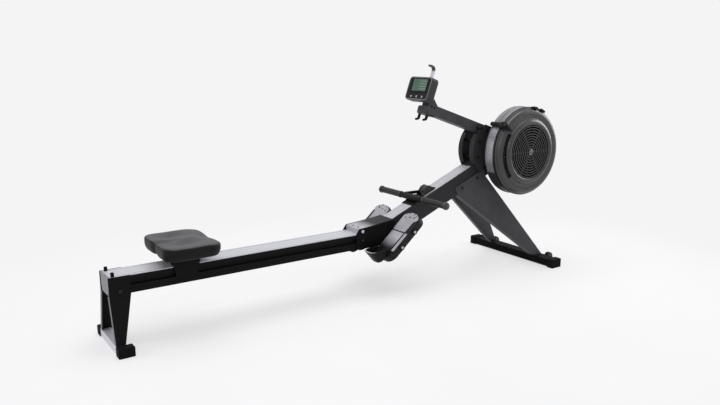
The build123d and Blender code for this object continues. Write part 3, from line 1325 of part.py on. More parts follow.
# Seat pad: rounded cushion with a notch at the rear
with BuildPart() as seat_pad:
    with BuildSketch(Plane.XY.offset(seat_bottom)):
        with Locations((seat_x, 0)):
            RectangleRounded(SEAT_LENGTH, SEAT_WIDTH, SEAT_CORNER)
        with Locations((seat_x - SEAT_LENGTH / 2 - SEAT_NOTCH_RADIUS + SEAT_NOTCH_DEPTH, 0)):
            Circle(SEAT_NOTCH_RADIUS, mode=Mode.SUBTRACT)
    extrude(amount=SEAT_THICKNESS)
    fillet(seat_pad.faces().sort_by(Axis.Z)[-1].edges(), SEAT_EDGE)
save(seat_pad, "seat_pad")

# Seat carriage: plate with a skirt down each side of the rail, and fixed roller pins
roller_z = RAIL_TOP + SEAT_ROLLER_RADIUS + SHAFT_FIT
under_z = groove_top - UNDER_ROLLER_RADIUS - TOUCH_GAP
skirt_inner = rail_half + LEG_THICKNESS + SKIRT_GAP
skirt_outer = skirt_inner + CARRIAGE_THICKNESS
under_y = rail_half - SIDE_GROOVE_DEPTH + UNDER_ROLLER_GAP
with BuildPart() as seat_carriage:
    with Locations((carriage_x, 0, seat_bottom - CARRIAGE_THICKNESS / 2)):
        Box(CARRIAGE_LENGTH, 2 * skirt_outer, CARRIAGE_THICKNESS)
    for side, _ in SIDES:
        with BuildSketch(plate_plane(side, skirt_inner, CARRIAGE_THICKNESS)):
            with BuildLine():
                Polyline(
                    (carriage_x - CARRIAGE_LENGTH / 2, seat_bottom),
                    (carriage_x + CARRIAGE_LENGTH / 2, seat_bottom),
                    (carriage_x + CARRIAGE_LENGTH * SKIRT_TAPER, SKIRT_BOTTOM),
                    (carriage_x - CARRIAGE_LENGTH * SKIRT_TAPER, SKIRT_BOTTOM),
                    close=True,
                )
            make_face()
        extrude(amount=CARRIAGE_THICKNESS)
        rod((carriage_x, under_z), SEAT_PIN, side * skirt_inner, side * under_y)
    for end in (-1, 1):
        rod((carriage_x + end * ROLLER_SPACING / 2, roller_z), SEAT_PIN, -skirt_outer, skirt_outer)
save(seat_carriage, "seat_carriage")

# Seat rollers: pairs on the track, and a pair in the side grooves
for end, label in ((-1, "rear"), (1, "front")):
    with BuildPart() as seat_rollers:
        for side, _ in SIDES:
            middle = side * SEAT_ROLLER_Y
            ring((carriage_x + end * ROLLER_SPACING / 2, roller_z), SEAT_ROLLER_RADIUS, SEAT_PIN + SHAFT_FIT,
                 middle - SEAT_ROLLER_WIDTH / 2, middle + SEAT_ROLLER_WIDTH / 2)
    save(seat_rollers, f"seat_rollers_{label}")
with BuildPart() as under_rollers:
    for side, _ in SIDES:
        ring((carriage_x, under_z), UNDER_ROLLER_RADIUS, SEAT_PIN + SHAFT_FIT, side * under_y,
             side * (under_y + UNDER_ROLLER_WIDTH))
save(under_rollers, "under_rollers")


# Bolt with a round head on a plate's outer face, the shank reaching inwards
def bolt_in(place, side, face, depth, sleeve=0, head=BOLT_HEAD):
    rod(place, BOLT_RADIUS, side * face, side * (face - depth))
    if head:
        rod(place, BOLT_HEAD_RADIUS, side * face, side * (face + head))
    if sleeve:
        inner = face - depth + BOOM_WALL
        rod(place, BOLT_HEAD_RADIUS, side * inner, side * (inner + sleeve))


# All visible bolts, spacers and the pulley pins
with BuildPart() as frame_bolts:
    for side, _ in SIDES:
        for bolt in rear_leg_bolts:
            bolt_in(bolt, side, rail_half + LEG_THICKNESS, LEG_THICKNESS + rail_bolt_depth)
        bolt_in(junction_rail_bolt, side, junction_outer, JUNCTION_THICKNESS + rail_bolt_depth)
        bolt_in(junction_rivet, side, junction_outer, JUNCTION_THICKNESS)
        gap = rail_half - boom_half
        bolt_in(junction_boom_bolt, side, junction_outer, JUNCTION_THICKNESS + gap + BOOM_WALL, gap, head=0)
        gap = DRIVE_INNER - boom_half
        for bolt in drive_boom_bolts:
            bolt_in(bolt, side, drive_outer, DRIVE_THICKNESS + gap + BOOM_WALL, gap)
        gap = DRIVE_INNER - ARM_WIDTH / 2
        for bolt in arm_bolts:
            bolt_in(bolt, side, drive_outer, DRIVE_THICKNESS + gap + ARM_WALL, gap)
        for bolt in leg_boom_bolts:
            bolt_in(bolt, side, boom_half + LEG_THICKNESS, LEG_THICKNESS + BOOM_WALL)
        for bolt in drive_cross_bolts:
            bolt_in(bolt, side, drive_outer, drive_outer)
            rod(bolt, BOLT_HEAD_RADIUS, 0, side * DRIVE_INNER)
        y_out = side * (WHEEL_Y + fork_inner + FORK_THICKNESS)
        y_in = side * (WHEEL_Y - fork_inner - FORK_THICKNESS)
        rod(wheel_centre, WHEEL_PIN / 2, y_out, y_in)
    rod(front_pulley, PULLEY_PIN, -boom_half, boom_half)
    rod(rear_pulley, PULLEY_PIN, -rail_web, rail_web)
save(frame_bolts, "frame_bolts")
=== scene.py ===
from math import cos, exp, pi, radians, sin

import bmesh
import bpy
from mathutils import Matrix, Vector


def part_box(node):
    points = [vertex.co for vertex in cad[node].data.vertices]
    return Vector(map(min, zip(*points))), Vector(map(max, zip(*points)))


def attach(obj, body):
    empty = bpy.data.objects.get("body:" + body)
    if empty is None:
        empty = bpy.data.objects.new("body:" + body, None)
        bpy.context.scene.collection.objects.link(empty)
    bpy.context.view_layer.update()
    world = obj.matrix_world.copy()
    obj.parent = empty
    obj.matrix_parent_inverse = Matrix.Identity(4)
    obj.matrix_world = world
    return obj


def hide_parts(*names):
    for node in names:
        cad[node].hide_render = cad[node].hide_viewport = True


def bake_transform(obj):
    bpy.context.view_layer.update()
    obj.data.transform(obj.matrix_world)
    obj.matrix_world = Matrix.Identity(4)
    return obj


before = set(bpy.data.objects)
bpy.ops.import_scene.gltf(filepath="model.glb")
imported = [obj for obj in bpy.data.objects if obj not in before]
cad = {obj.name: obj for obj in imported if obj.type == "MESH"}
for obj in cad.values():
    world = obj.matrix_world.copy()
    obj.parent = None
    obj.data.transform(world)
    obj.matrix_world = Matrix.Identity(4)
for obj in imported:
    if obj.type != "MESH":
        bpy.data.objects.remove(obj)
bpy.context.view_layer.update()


# Finishes
class Value:
    """A socket of a finish, with the sums that the finishes use."""

    def __init__(self, finish, socket):
        self.finish = finish
        self.socket = socket

    def math(self, operation, *others):
        return self.finish.node("ShaderNodeMath", {"operation": operation}, [self, *others])

    def __add__(self, other):
        return self.math("ADD", other)

    def __radd__(self, other):
        return self.math("ADD", other)

    def __sub__(self, other):
        return self.math("SUBTRACT", other)

    def __rsub__(self, other):
        return self.finish.node("ShaderNodeMath", {"operation": "SUBTRACT"}, [other, self])

    def __mul__(self, other):
        return self.math("MULTIPLY", other)

    def __rmul__(self, other):
        return self.math("MULTIPLY", other)

    def __abs__(self):
        return self.math("ABSOLUTE")

    def repeat(self, step):
        """Distance to the nearest multiple of step."""
        return self.math("PINGPONG", step / 2)

    def rise(self, low, high):
        """0 up to low, 1 from high on, smooth between."""
        settings = {"interpolation_type": "SMOOTHSTEP"}
        return self.finish.node("ShaderNodeMapRange", settings, {0: self, 1: low, 2: high})

    def fall(self, low, high):
        """1 up to low, 0 from high on, smooth between."""
        return 1.0 - self.rise(low, high)

    def full(self):
        """A noise, which keeps near its middle, spread over 0 to 1."""
        return self.rise(0.3, 0.7)

    def hypot(self, other):
        """Distance across two sides of a right angle."""
        return (self.math("POWER", 2.0) + other.math("POWER", 2.0)).math("SQRT")


class Finish:
    """One material: its node tree and the nodes it is made of."""

    def __init__(self, name, **constants):
        self.material = bpy.data.materials.new(name)
        self.material.use_nodes = True
        self.tree = self.material.node_tree
        self.shader = self.tree.nodes["Principled BSDF"]
        self.point = self.node("ShaderNodeTexCoord", out="Object")
        for socket, value in constants.items():
            self.shader.inputs[socket.replace("_", " ")].default_value = value

    def node(self, kind, settings=(), sockets=(), out=0):
        made = self.tree.nodes.new(kind)
        for key, value in dict(settings).items():
            setattr(made, key, value)
        pairs = sockets.items() if isinstance(sockets, dict) else enumerate(sockets)
        for key, value in pairs:
            self.feed(made.inputs[key], value)
        return Value(self, made.outputs[out])

    def feed(self, socket, value):
        if isinstance(value, Value):
            self.tree.links.new(value.socket, socket)
        else:
            socket.default_value = value

    def axes(self):
        return [self.node("ShaderNodeSeparateXYZ", sockets=[self.point], out=i) for i in range(3)]

    def scaled(self, factors):
        return self.node("ShaderNodeVectorMath", {"operation": "MULTIPLY"}, [self.point, factors])

    def noise(self, scale, detail=2.0, point=None):
        sockets = {"Vector": point or self.point, "Scale": scale, "Detail": detail}
        return self.node("ShaderNodeTexNoise", {}, sockets)

    def cells(self, scale):
        return self.node("ShaderNodeTexVoronoi", {}, {"Vector": self.point, "Scale": scale})

    def mix(self, factor, first, second):
        sockets = {0: factor, 6: first, 7: second}
        return self.node("ShaderNodeMix", {"data_type": "RGBA"}, sockets, out=2)

    def bump(self, height, depth):
        sockets = {"Strength": 1.0, "Distance": depth, "Height": height}
        return self.node("ShaderNodeBump", {}, sockets)

    def finish(self, colour, rough, normal=None, **more):
        links = {"Base Color": colour, "Roughness": rough, "Normal": normal}
        links.update({key.replace("_", " "): value for key, value in more.items()})
        for socket, value in links.items():
            if value is not None:
                self.feed(self.shader.inputs[socket], value)
        return self.material


def tone(value):
    """A near-neutral colour, a little blue as the photographed paint is."""
    return (value * 0.98, value * 0.98, value * 1.06, 1.0)


def satin(name, value, rough, metal=0.0, grain=900.0, depth=0.00012, spread=0.16, **constants):
    """Paint, plastic or rubber: a fine grain under a slow drift of shade and sheen."""
    f = Finish(name, Metallic=metal, **constants)
    drift = f.noise(9.0, 4.0)
    fine = f.noise(grain, 2.0)
    scuff = f.noise(60.0, 5.0, f.scaled((1.0, 1.0, 0.25)))
    shade = drift.full() * 0.7 + scuff.rise(0.45, 0.75) * 0.3
    colour = f.mix(shade, tone(value * (1 - spread)), tone(value * (1 + spread)))
    sheen = drift * 0.14 + fine * 0.08 + scuff.rise(0.55, 0.8) * 0.06 + (rough - 0.12)
    return f.finish(colour, sheen, f.bump(fine, depth))


def brushed(name, value, rough, metal, lines):
    """Metal drawn along X; lines are (distance from the middle, width) of the grooves on both sides."""
    f = Finish(name, Metallic=metal)
    stretch = (4.0, 900.0, 900.0)
    streak = f.noise(1.0, 3.0, f.scaled(stretch))
    broad = f.noise(1.0, 2.0, f.scaled(tuple(s * 0.12 for s in stretch)))
    drift = f.noise(6.0, 3.0)
    shade = streak * 0.5 + broad * 0.3 + drift * 0.2
    colour = f.mix(shade.full(), tone(value * 0.86), tone(value * 1.04))
    y = abs(f.axes()[1])
    for place, width in lines:
        colour = f.mix(abs(y - place).fall(width * 0.4, width), colour, tone(value * 0.42))
    sheen = streak * 0.16 + drift * 0.1 + (rough - 0.13)
    return f.finish(colour, sheen, f.bump(streak, 0.00008))


low_sheen = {"Specular_IOR_Level": 0.07}
matt = {"Specular_IOR_Level": 0.02}

# Places on the machine, in metres
fan_low, fan_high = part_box("fan_drum")
fan = (fan_low + fan_high) / 2
drum_radius = (fan_high.x - fan_low.x) / 2
foot_point = Vector((0.1585, 0.0, 0.287))
foot_turn = radians(41.0)
foot_along = Vector((cos(foot_turn), 0.0, sin(foot_turn)))
foot_up = Vector((-sin(foot_turn), 0.0, cos(foot_turn)))
screen_low, screen_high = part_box("monitor_screen")
screen_middle = (screen_low + screen_high) / 2
screen_turn = radians(20.0)
face_out = Vector((-cos(screen_turn), 0.0, sin(screen_turn)))
face_up = Vector((sin(screen_turn), 0.0, cos(screen_turn)))


def share_along(f, vector, direction):
    """Length of vector along direction."""
    sockets = [vector, tuple(direction)]
    return f.node("ShaderNodeVectorMath", {"operation": "DOT_PRODUCT"}, sockets, out="Value")


def offset_along(f, origin, direction):
    """Distance of the shaded point from origin along direction."""
    moved = f.node("ShaderNodeVectorMath", {"operation": "SUBTRACT"}, [f.point, tuple(origin)])
    return share_along(f, moved, direction)


def facing(f, direction):
    """How squarely the surface faces direction, from -1 to 1."""
    normal = f.node("ShaderNodeNewGeometry", out="Normal")
    return share_along(f, normal, direction)


def drum_band():
    """Perforated band: silver where the shutter is open, grey round the rest with painted shadow darkening
    its lower part, black at both rims.
    """
    f = Finish("drum_band", Specular_IOR_Level=0.3)
    x, y, z = f.axes()
    turn = (z - fan.z).math("ARCTAN2", x - fan.x)
    arc = turn * drum_radius
    pitch = 0.0082
    tall = pitch * 1.732
    hole_radius = 0.0019
    seam_half = 0.0016
    near_rim = 0.0125
    far_rim = 0.0055
    open_top = 2.46
    open_end = -2.72
    soft_edge = 0.0007
    soft_turn = 0.04
    first = arc.repeat(pitch).hypot(y.repeat(tall))
    second = (arc + pitch / 2).repeat(pitch).hypot((y + tall / 2).repeat(tall))
    hole = first.math("MINIMUM", second).fall(hole_radius, hole_radius + soft_edge)
    drift = f.noise(14.0, 3.0)
    opened = turn.rise(open_top, open_top + soft_turn) + turn.fall(open_end, open_end + soft_turn)
    rim = (y - fan_low.y).fall(near_rim, near_rim + soft_edge)
    rim = rim + (fan_high.y - y).fall(far_rim, far_rim + soft_edge)
    seam = abs(y - fan.y).fall(seam_half, seam_half * 1.5) * (1.0 - opened)
    sheet = f.mix(drift, tone(0.3), tone(0.42))
    lit_sheet = f.mix(drift, tone(0.2), tone(0.28))
    # Low on the drum the shroud is painted near-black: painted shadow.
    shroud = f.mix(z.rise(fan.z - 0.05, fan.z + 0.1), tone(0.03), lit_sheet)
    colour = f.mix(seam, f.mix(opened, shroud, sheet), tone(0.012))
    colour = f.mix(hole * (0.35 + 0.5 * (1.0 - opened)), colour, tone(0.008))
    colour = f.mix(rim, colour, tone(0.012))
    metal = opened * (1.0 - rim) * 0.7
    return f.finish(colour, drift * 0.15 + 0.3, f.bump(1.0 - hole, 0.0006), Metallic=metal)


def cover_plastic():
    """Smooth charcoal face with a duller, darker wall round the edge."""
    f = Finish("cover_plastic", Specular_IOR_Level=0.5)
    drift = f.noise(9.0, 4.0)
    fine = f.noise(1800.0)
    front = facing(f, (0.0, -1.0, 0.0)).rise(0.1, 0.45)
    face = f.mix(drift.full(), tone(0.027), tone(0.035))
    colour = f.mix(front, tone(0.009), face)
    return f.finish(colour, drift * 0.12 + (0.5 - 0.24 * front), f.bump(fine, 0.00003))


def shutter_plastic():
    """Grey shutter round the drum with a dark seam; what stands off the drum is black."""
    f = Finish("shutter_plastic", Specular_IOR_Level=0.3)
    x, y, z = f.axes()
    reach = (x - fan.x).hypot(z - fan.z)
    seam_edge = (0.002, 0.003)
    outer_edge = (drum_radius + 0.004, drum_radius + 0.005)
    drift = f.noise(20.0, 3.0)
    grain = f.noise(500.0, 2.0)
    grey = f.mix(drift * 0.6 + grain * 0.4, tone(0.13), tone(0.25))
    black = abs(y - fan.y).fall(*seam_edge).math("MAXIMUM", reach.rise(*outer_edge))
    colour = f.mix(black, grey, tone(0.012))
    return f.finish(colour, drift * 0.15 + 0.35, f.bump(grain, 0.0003))


def toe_rubber():
    """Pale studded pad; its holes are painted near-black below the surface as painted shade."""
    f = Finish("toe_rubber", Specular_IOR_Level=0.3)
    along = offset_along(f, foot_point, foot_along)
    depth = offset_along(f, foot_point, foot_up)
    y = f.axes()[1]
    pitch = 0.0058
    stud_edge = (0.0011, 0.002)
    hole_shade_depth = (-0.0016, -0.0006)
    raised = along.repeat(pitch).hypot(y.repeat(pitch)).fall(*stud_edge)
    drift = f.noise(22.0, 4.0)
    pale = f.mix(drift.full(), tone(0.42), tone(0.54))
    colour = f.mix(raised, f.mix(0.5, pale, tone(0.1)), pale)
    # Below the pad's surface, inside the holes, the colour turns near-black: painted shade.
    colour = f.mix(depth.fall(*hole_shade_depth), colour, tone(0.012))
    return f.finish(colour, drift * 0.15 + 0.45, f.bump(raised, 0.0006))


def heel_plate():
    """Pale sliding plate that darkens into its cup; the cup's lip has a pale painted highlight."""
    f = Finish("heel_plate", Specular_IOR_Level=0.12)
    along = offset_along(f, foot_point, foot_along)
    height = offset_along(f, foot_point, foot_up)
    drift = f.noise(22.0, 4.0)
    fine = f.noise(1800.0)
    pale = f.mix(drift.full(), tone(0.34), tone(0.42))
    dark = f.mix(drift.full(), tone(0.005), tone(0.011))
    plate_top = (0.001, 0.003)
    cup_start = (-0.105, -0.035)
    top = facing(f, foot_up).rise(0.8, 0.95) * height.fall(*plate_top)
    colour = f.mix(top * along.rise(*cup_start), dark, pale)
    # Faces of the cup's lip turned this way are painted pale: a painted highlight.
    lip = (foot_along * 0.585 + foot_up * 0.81).normalized()
    lip_height = (0.004, 0.01)
    lip_place = (-0.176, -0.16)
    edge = facing(f, lip).rise(0.93, 0.98) * height.rise(*lip_height) * along.fall(*lip_place)
    colour = f.mix(edge, colour, tone(0.4))
    return f.finish(colour, drift * 0.15 + 0.4, f.bump(fine, 0.0002))


def board_plastic():
    """Black footboard with a pale strip along the heel half of its outer rim."""
    f = Finish("board_plastic", Specular_IOR_Level=0.12)
    along = offset_along(f, foot_point, foot_along)
    height = offset_along(f, foot_point, foot_up)
    y = abs(f.axes()[1])
    drift = f.noise(16.0, 4.0)
    fine = f.noise(1600.0)
    rim_height = (-0.006, -0.004)
    rim_side = (0.149, 0.151)
    strip_front = (-0.004, 0.0)
    strip_back = (-0.125, -0.115)
    strip = facing(f, foot_up).rise(0.85, 0.95) * height.rise(*rim_height) * y.rise(*rim_side)
    strip = strip * along.fall(*strip_front) * along.rise(*strip_back)
    black = f.mix(drift.full(), tone(0.010), tone(0.017))
    return f.finish(f.mix(strip, black, tone(0.33)), drift * 0.15 + 0.4, f.bump(fine, 0.0002))


def screen_glass():
    """Grey-green display with faint dark marks and pale rules."""
    f = Finish("screen_glass", Specular_IOR_Level=0.3)
    up = offset_along(f, screen_middle, face_up)
    across = f.axes()[1]
    drift = f.noise(30.0, 3.0)
    dark_field = (0.044, 0.088, 0.064, 1.0)
    light_field = (0.066, 0.118, 0.087, 1.0)
    mark_green = (0.03, 0.055, 0.045, 1.0)
    rule_green = (0.34, 0.4, 0.36, 1.0)
    column = 0.0105
    row = 0.0125
    field = f.mix(drift.full(), dark_field, light_field)
    marks = across.repeat(column).rise(0.0022, 0.0028) * up.repeat(row).rise(0.0024, 0.003)
    rules = (up - 0.004).repeat(row).fall(0.0012, 0.0018)
    inside = abs(across).fall(0.046, 0.047) * abs(up + 0.002).fall(0.023, 0.024)
    colour = f.mix(marks * inside * across.rise(-0.02, 0.03) * 0.6, field, mark_green)
    colour = f.mix(rules * inside * across.fall(-0.02, 0.02) * 0.5, colour, rule_green)
    return f.finish(colour, drift * 0.1 + 0.15, f.bump(marks, 0.0001))


def case_plastic():
    """Monitor housing: near-black face, greyer sides."""
    f = Finish("plastic_monitor", **low_sheen)
    drift = f.noise(9.0, 4.0)
    fine = f.noise(2400.0)
    front = f.mix(drift, tone(0.012), tone(0.018))
    side = f.mix(drift, tone(0.045), tone(0.06))
    colour = f.mix(facing(f, face_out).rise(0.8, 0.95), side, front)
    return f.finish(colour, drift * 0.14 + 0.32, f.bump(fine, 0.00012))


def hook_steel():
    """Light rod whose upper end is dipped in black rubber."""
    f = Finish("hook_steel")
    z = f.axes()[2]
    drift = f.noise(40.0, 4.0)
    dip_start = (1.01, 1.02)
    dipped = z.rise(*dip_start)
    colour = f.mix(dipped, f.mix(drift, tone(0.45), tone(0.62)), tone(0.015))
    metal = (1.0 - dipped) * 0.8
    return f.finish(colour, drift * 0.2 + 0.3, f.bump(f.noise(900.0), 0.0001), Metallic=metal)


def bolt_heads():
    """Blackened bolts, bright ones at the feet and the rail's front end."""
    f = Finish("bolt_heads", Specular_IOR_Level=0.2)
    x, _, z = f.axes()
    drift = f.noise(120.0, 3.0)
    feet_back = (-0.1, -0.08)
    feet_front = (0.3, 0.32)
    feet_low = (0.27, 0.28)
    bright = x.rise(*feet_back) * x.fall(*feet_front) * z.rise(*feet_low)
    black = f.mix(drift, tone(0.006), tone(0.014))
    colour = f.mix(bright, black, f.mix(drift, tone(0.45), tone(0.6)))
    fine = f.noise(1600.0)
    return f.finish(colour, drift * 0.2 + 0.25, f.bump(fine, 0.0001), Metallic=bright * 0.8)


def ribbed(name, value, step):
    """Rubber with ribs that repeat along Y; crests painted lighter than grooves as painted highlight and
    painted shade.
    """
    f = Finish(name, Specular_IOR_Level=0.3)
    rib = f.axes()[1].repeat(step).rise(step * 0.1, step * 0.3)
    drift = f.noise(18.0, 4.0)
    # Crests at full tone, grooves at half: painted highlight on the ribs, painted shade between them.
    colour = f.mix(rib * (0.6 + 0.4 * drift), tone(value * 0.5), tone(value))
    return f.finish(colour, drift * 0.16 + 0.42, f.bump(rib, step * 0.12))


def leg_paint(value, edge):
    """Frame paint with a pale painted highlight on its rear-facing flanges."""
    f = Finish("rear_leg_paint", **low_sheen)
    drift = f.noise(9.0, 4.0)
    fine = f.noise(900.0)
    paint = f.mix(drift.full(), tone(value * 0.86), tone(value * 1.14))
    # Faces turned to the rear are painted pale: a painted highlight on the flanges.
    rear_highlight = facing(f, (-1.0, 0.0, 0.0)).rise(0.75, 0.95) * (0.6 + 0.4 * drift)
    colour = f.mix(rear_highlight, paint, tone(edge))
    return f.finish(colour, drift * 0.14 + fine * 0.06 + 0.32, f.bump(fine, 0.00012))


def bracket_paint():
    """Charcoal bracket on the arm's end, with black hooks below it."""
    f = Finish("bracket_paint", **low_sheen)
    z = f.axes()[2]
    drift = f.noise(9.0, 4.0)
    fine = f.noise(900.0)
    paint = f.mix(drift.full(), tone(0.057), tone(0.075))
    hook_top = (0.808, 0.815)
    colour = f.mix(z.rise(*hook_top), tone(0.008), paint)
    return f.finish(colour, drift * 0.14 + fine * 0.06 + 0.32, f.bump(fine, 0.00012))


def junction_skin():
    """Pale cover over the rail's front end, painted dark towards the boom as painted shade."""
    f = Finish("junction_skin", **low_sheen)
    x = f.axes()[0]
    drift = f.noise(20.0, 4.0)
    fine = f.noise(1500.0)
    pale = f.mix(drift.full(), tone(0.34), tone(0.44))
    shaded_front = (0.0, 0.075)
    # Towards the boom the cover turns near-black: painted shade on its curving front.
    colour = f.mix(x.rise(*shaded_front), pale, tone(0.02))
    return f.finish(colour, drift * 0.15 + 0.35, f.bump(fine, 0.0002))


paint_black = satin("paint_black", 0.005, 0.42, **low_sheen)
paint_charcoal = satin("paint_charcoal", 0.032, 0.46, **low_sheen)
paint_leg = satin("paint_leg", 0.066, 0.44, **low_sheen)
rear_leg_paint = leg_paint(0.005, 0.2)
rail_black = satin("rail_black", 0.005, 0.4, **low_sheen)
rubber_black = satin("rubber_black", 0.008, 0.6, grain=1400.0, depth=0.0002, **matt)
paint_matt = satin("paint_matt", 0.006, 0.55, **matt)
wheel_black = satin("wheel_black", 0.012, 0.55, grain=1400.0, depth=0.0002, **low_sheen)
plastic_black = satin("plastic_black", 0.007, 0.46, grain=2200.0, **low_sheen)
plastic_monitor = case_plastic()
plastic_rim = satin("plastic_rim", 0.05, 0.36, grain=2400.0)
# The monitor rim's grey is lighter than the rim plastic: partly its own colour, partly a painted highlight
# along the face's edge.
rim_grey_and_highlight = satin("rim_grey_and_highlight", 0.11, 0.3, grain=2400.0)
plastic_button = satin("plastic_button", 0.36, 0.42, grain=2400.0, spread=0.05)
plastic_cover = cover_plastic()
plastic_grille = satin("plastic_grille", 0.011, 0.35, grain=1800.0)
plastic_mark = satin("plastic_mark", 0.2, 0.5, grain=1800.0)
steel_bright = satin("steel_bright", 0.5, 0.36, metal=0.9, grain=1600.0, spread=0.1)
steel_dark = satin("steel_dark", 0.1, 0.38, metal=0.8, grain=1600.0)
silver_paint = satin("silver_paint", 0.62, 0.4, metal=0.3, grain=1600.0, spread=0.05)
end_silver = satin("end_silver", 0.18, 0.42, metal=0.3, grain=1600.0, spread=0.08)
track_silver = brushed("track_silver", 0.52, 0.48, 0.3, lines=((0.04, 0.0016), (0.0125, 0.0011)))
strip_silver = brushed("strip_silver", 0.46, 0.46, 0.35, lines=((0.02, 0.0009),))
cord_black = satin("cord_black", 0.02, 0.7, grain=2600.0, depth=0.0003)
grip_ribs = ribbed("grip_ribs", 0.010, 0.006)
guide_ribs = ribbed("guide_ribs", 0.03, 0.0082)
board_black = board_plastic()
heel_grey = heel_plate()
toe_grey = toe_rubber()

for node, material in {
    "arm_bracket": bracket_paint(),
    "axle_bearings": steel_bright,
    "boom": paint_charcoal,
    "boom_strip": strip_silver,
    "button_left": plastic_button,
    "button_middle": plastic_button,
    "button_right": plastic_button,
    "chain_guide": guide_ribs,
    "cord_pulley_front": plastic_black,
    "cord_pulley_rear": plastic_black,
    "damper": shutter_plastic(),
    "drive_chain": steel_dark,
    "drive_plate_left": paint_charcoal,
    "drive_plate_right": paint_charcoal,
    "fan_axle": steel_bright,
    "fan_back_plate": plastic_cover,
    "fan_cover": plastic_cover,
    "fan_drum": drum_band(),
    "fan_grille": plastic_grille,
    "fan_rotor": steel_dark,
    "floor_caps": rubber_black,
    "footboard_left": board_black,
    "footboard_right": board_black,
    "frame_bolts": bolt_heads(),
    "front_floor_bar": paint_matt,
    "front_leg_left": paint_leg,
    "front_leg_right": paint_leg,
    "guide_roller": guide_ribs,
    "handle_bar": plastic_black,
    "handle_grips": grip_ribs,
    "handle_rest": plastic_black,
    "handle_yoke": plastic_black,
    "heel_rest_left": heel_grey,
    "heel_rest_right": heel_grey,
    "junction_cover": junction_skin(),
    "junction_plate_left": paint_black,
    "junction_plate_right": paint_black,
    "monitor_arm": paint_leg,
    "monitor_case": plastic_monitor,
    "monitor_screen": screen_glass(),
    "rail_beam": rail_black,
    "rail_end_plate": end_silver,
    "rail_track": track_silver,
    "rear_floor_bar": silver_paint,
    "rear_leg_left": rear_leg_paint,
    "rear_leg_right": rear_leg_paint,
    "return_cord": cord_black,
    "seat_carriage": paint_black,
    "seat_pad": rubber_black,
    "seat_rollers_front": plastic_black,
    "seat_rollers_rear": plastic_black,
    "seat_stops": rubber_black,
    "sprocket": steel_dark,
    "toe_pad_left": toe_grey,
    "toe_pad_right": toe_grey,
    "transport_wheel_left": wheel_black,
    "transport_wheel_right": wheel_black,
    "under_rollers": plastic_black,
    "upper_hook": hook_steel(),
}.items():
    mesh = cad[node].data
    mesh.materials.clear()
    mesh.materials.append(material)


# Shapes
scene = bpy.context.scene
left = Vector((0.0, 1.0, 0.0))


def set_at(origin, x_dir, z_dir):
    """Matrix that carries local axes to a place on the machine."""
    x_axis = Vector(x_dir).normalized()
    z_axis = Vector(z_dir).normalized()
    turn = Matrix((x_axis, z_axis.cross(x_axis), z_axis)).transposed()
    return Matrix.Translation(origin) @ turn.to_4x4()


def shifted(place, along, across=0.0, up=0.0):
    """A place moved along its own axes."""
    return place @ Matrix.Translation((along, across, up))


def spun(place, turn):
    """A place turned about its own Z."""
    return place @ Matrix.Rotation(turn, 4, "Z")


def soften(shape, edges, cut, steps):
    """Rounds edges off."""
    bmesh.ops.bevel(
        shape, geom=edges, offset=cut, segments=steps, profile=0.5, affect="EDGES", material=-1
    )


def block(shape, place, size, cut=0.0, steps=2):
    """A box centred on place, with softened edges where cut is given."""
    corners = bmesh.ops.create_cube(shape, size=1.0)["verts"]
    bmesh.ops.transform(shape, matrix=place @ Matrix.Diagonal((*size, 1.0)), verts=corners)
    if cut:
        soften(shape, list({e for v in corners for e in v.link_edges}), cut, steps)


def turned(shape, outline, place, steps=48, closed=True):
    """Outline of (radius, height) points spun about the local Z of place.

    Closed leads it back to its start, or straight to the axis where it starts on the axis.
    """
    before = set(shape.verts)
    points = [shape.verts.new((r, 0.0, h)) for r, h in outline]
    if closed:
        start_radius, start_height = outline[0]
        end_height = start_height if start_radius else outline[-1][1]
        points.append(shape.verts.new((start_radius, 0.0, end_height)))
    edges = [shape.edges.new(pair) for pair in zip(points, points[1:])]
    bmesh.ops.spin(
        shape,
        geom=points + edges,
        cent=(0, 0, 0),
        axis=(0, 0, 1),
        angle=2 * pi,
        steps=steps,
        use_merge=True,
    )
    fresh = [v for v in shape.verts if v not in before]
    bmesh.ops.remove_doubles(shape, verts=fresh, dist=1e-6)
    fresh = [v for v in shape.verts if v not in before]
    bmesh.ops.transform(shape, matrix=place, verts=fresh)


def sector(shape, inner, outer, thick, start, span, place, steps):
    """A flat arc between two radii, thick along the local Z of place."""
    before = set(shape.verts)
    corners = [(inner, 0.0), (outer, 0.0), (outer, thick), (inner, thick)]
    turn = Matrix.Rotation(start, 4, "Z")
    points = [shape.verts.new(turn @ Vector((r, 0.0, h))) for r, h in corners]
    end = shape.faces.new(points)
    bmesh.ops.spin(shape, geom=[end], cent=(0, 0, 0), axis=(0, 0, 1), angle=span, steps=steps)
    fresh = [v for v in shape.verts if v not in before]
    bmesh.ops.transform(shape, matrix=place, verts=fresh)


def lofted(shape, stations, sides=24):
    """Oval sections joined in a row; each is its centre and its two half axes."""
    rings = []
    for centre, across, up in stations:
        verts = bmesh.ops.create_circle(shape, cap_ends=False, segments=sides, radius=1.0)["verts"]
        normal = across.cross(up).normalized()
        place = Matrix.Translation(centre) @ Matrix((across, up, normal)).transposed().to_4x4()
        bmesh.ops.transform(shape, matrix=place, verts=verts)
        rings.append(list({e for v in verts for e in v.link_edges}))
    for first, second in zip(rings, rings[1:]):
        bmesh.ops.bridge_loops(shape, edges=first + second)
    for last in (rings[0], rings[-1]):
        bmesh.ops.holes_fill(shape, edges=last, sides=0)


def rounded(corners, cut, steps=5):
    """Outline whose corners are cut back and rounded."""
    outline = []
    for before, corner, after in zip(corners[-1:] + corners[:-1], corners, corners[1:] + corners[:1]):
        start = corner + (before - corner).normalized() * cut
        end = corner + (after - corner).normalized() * cut
        for step in range(steps + 1):
            share = step / steps
            outline.append(start.lerp(corner, share).lerp(corner.lerp(end, share), share))
    return outline


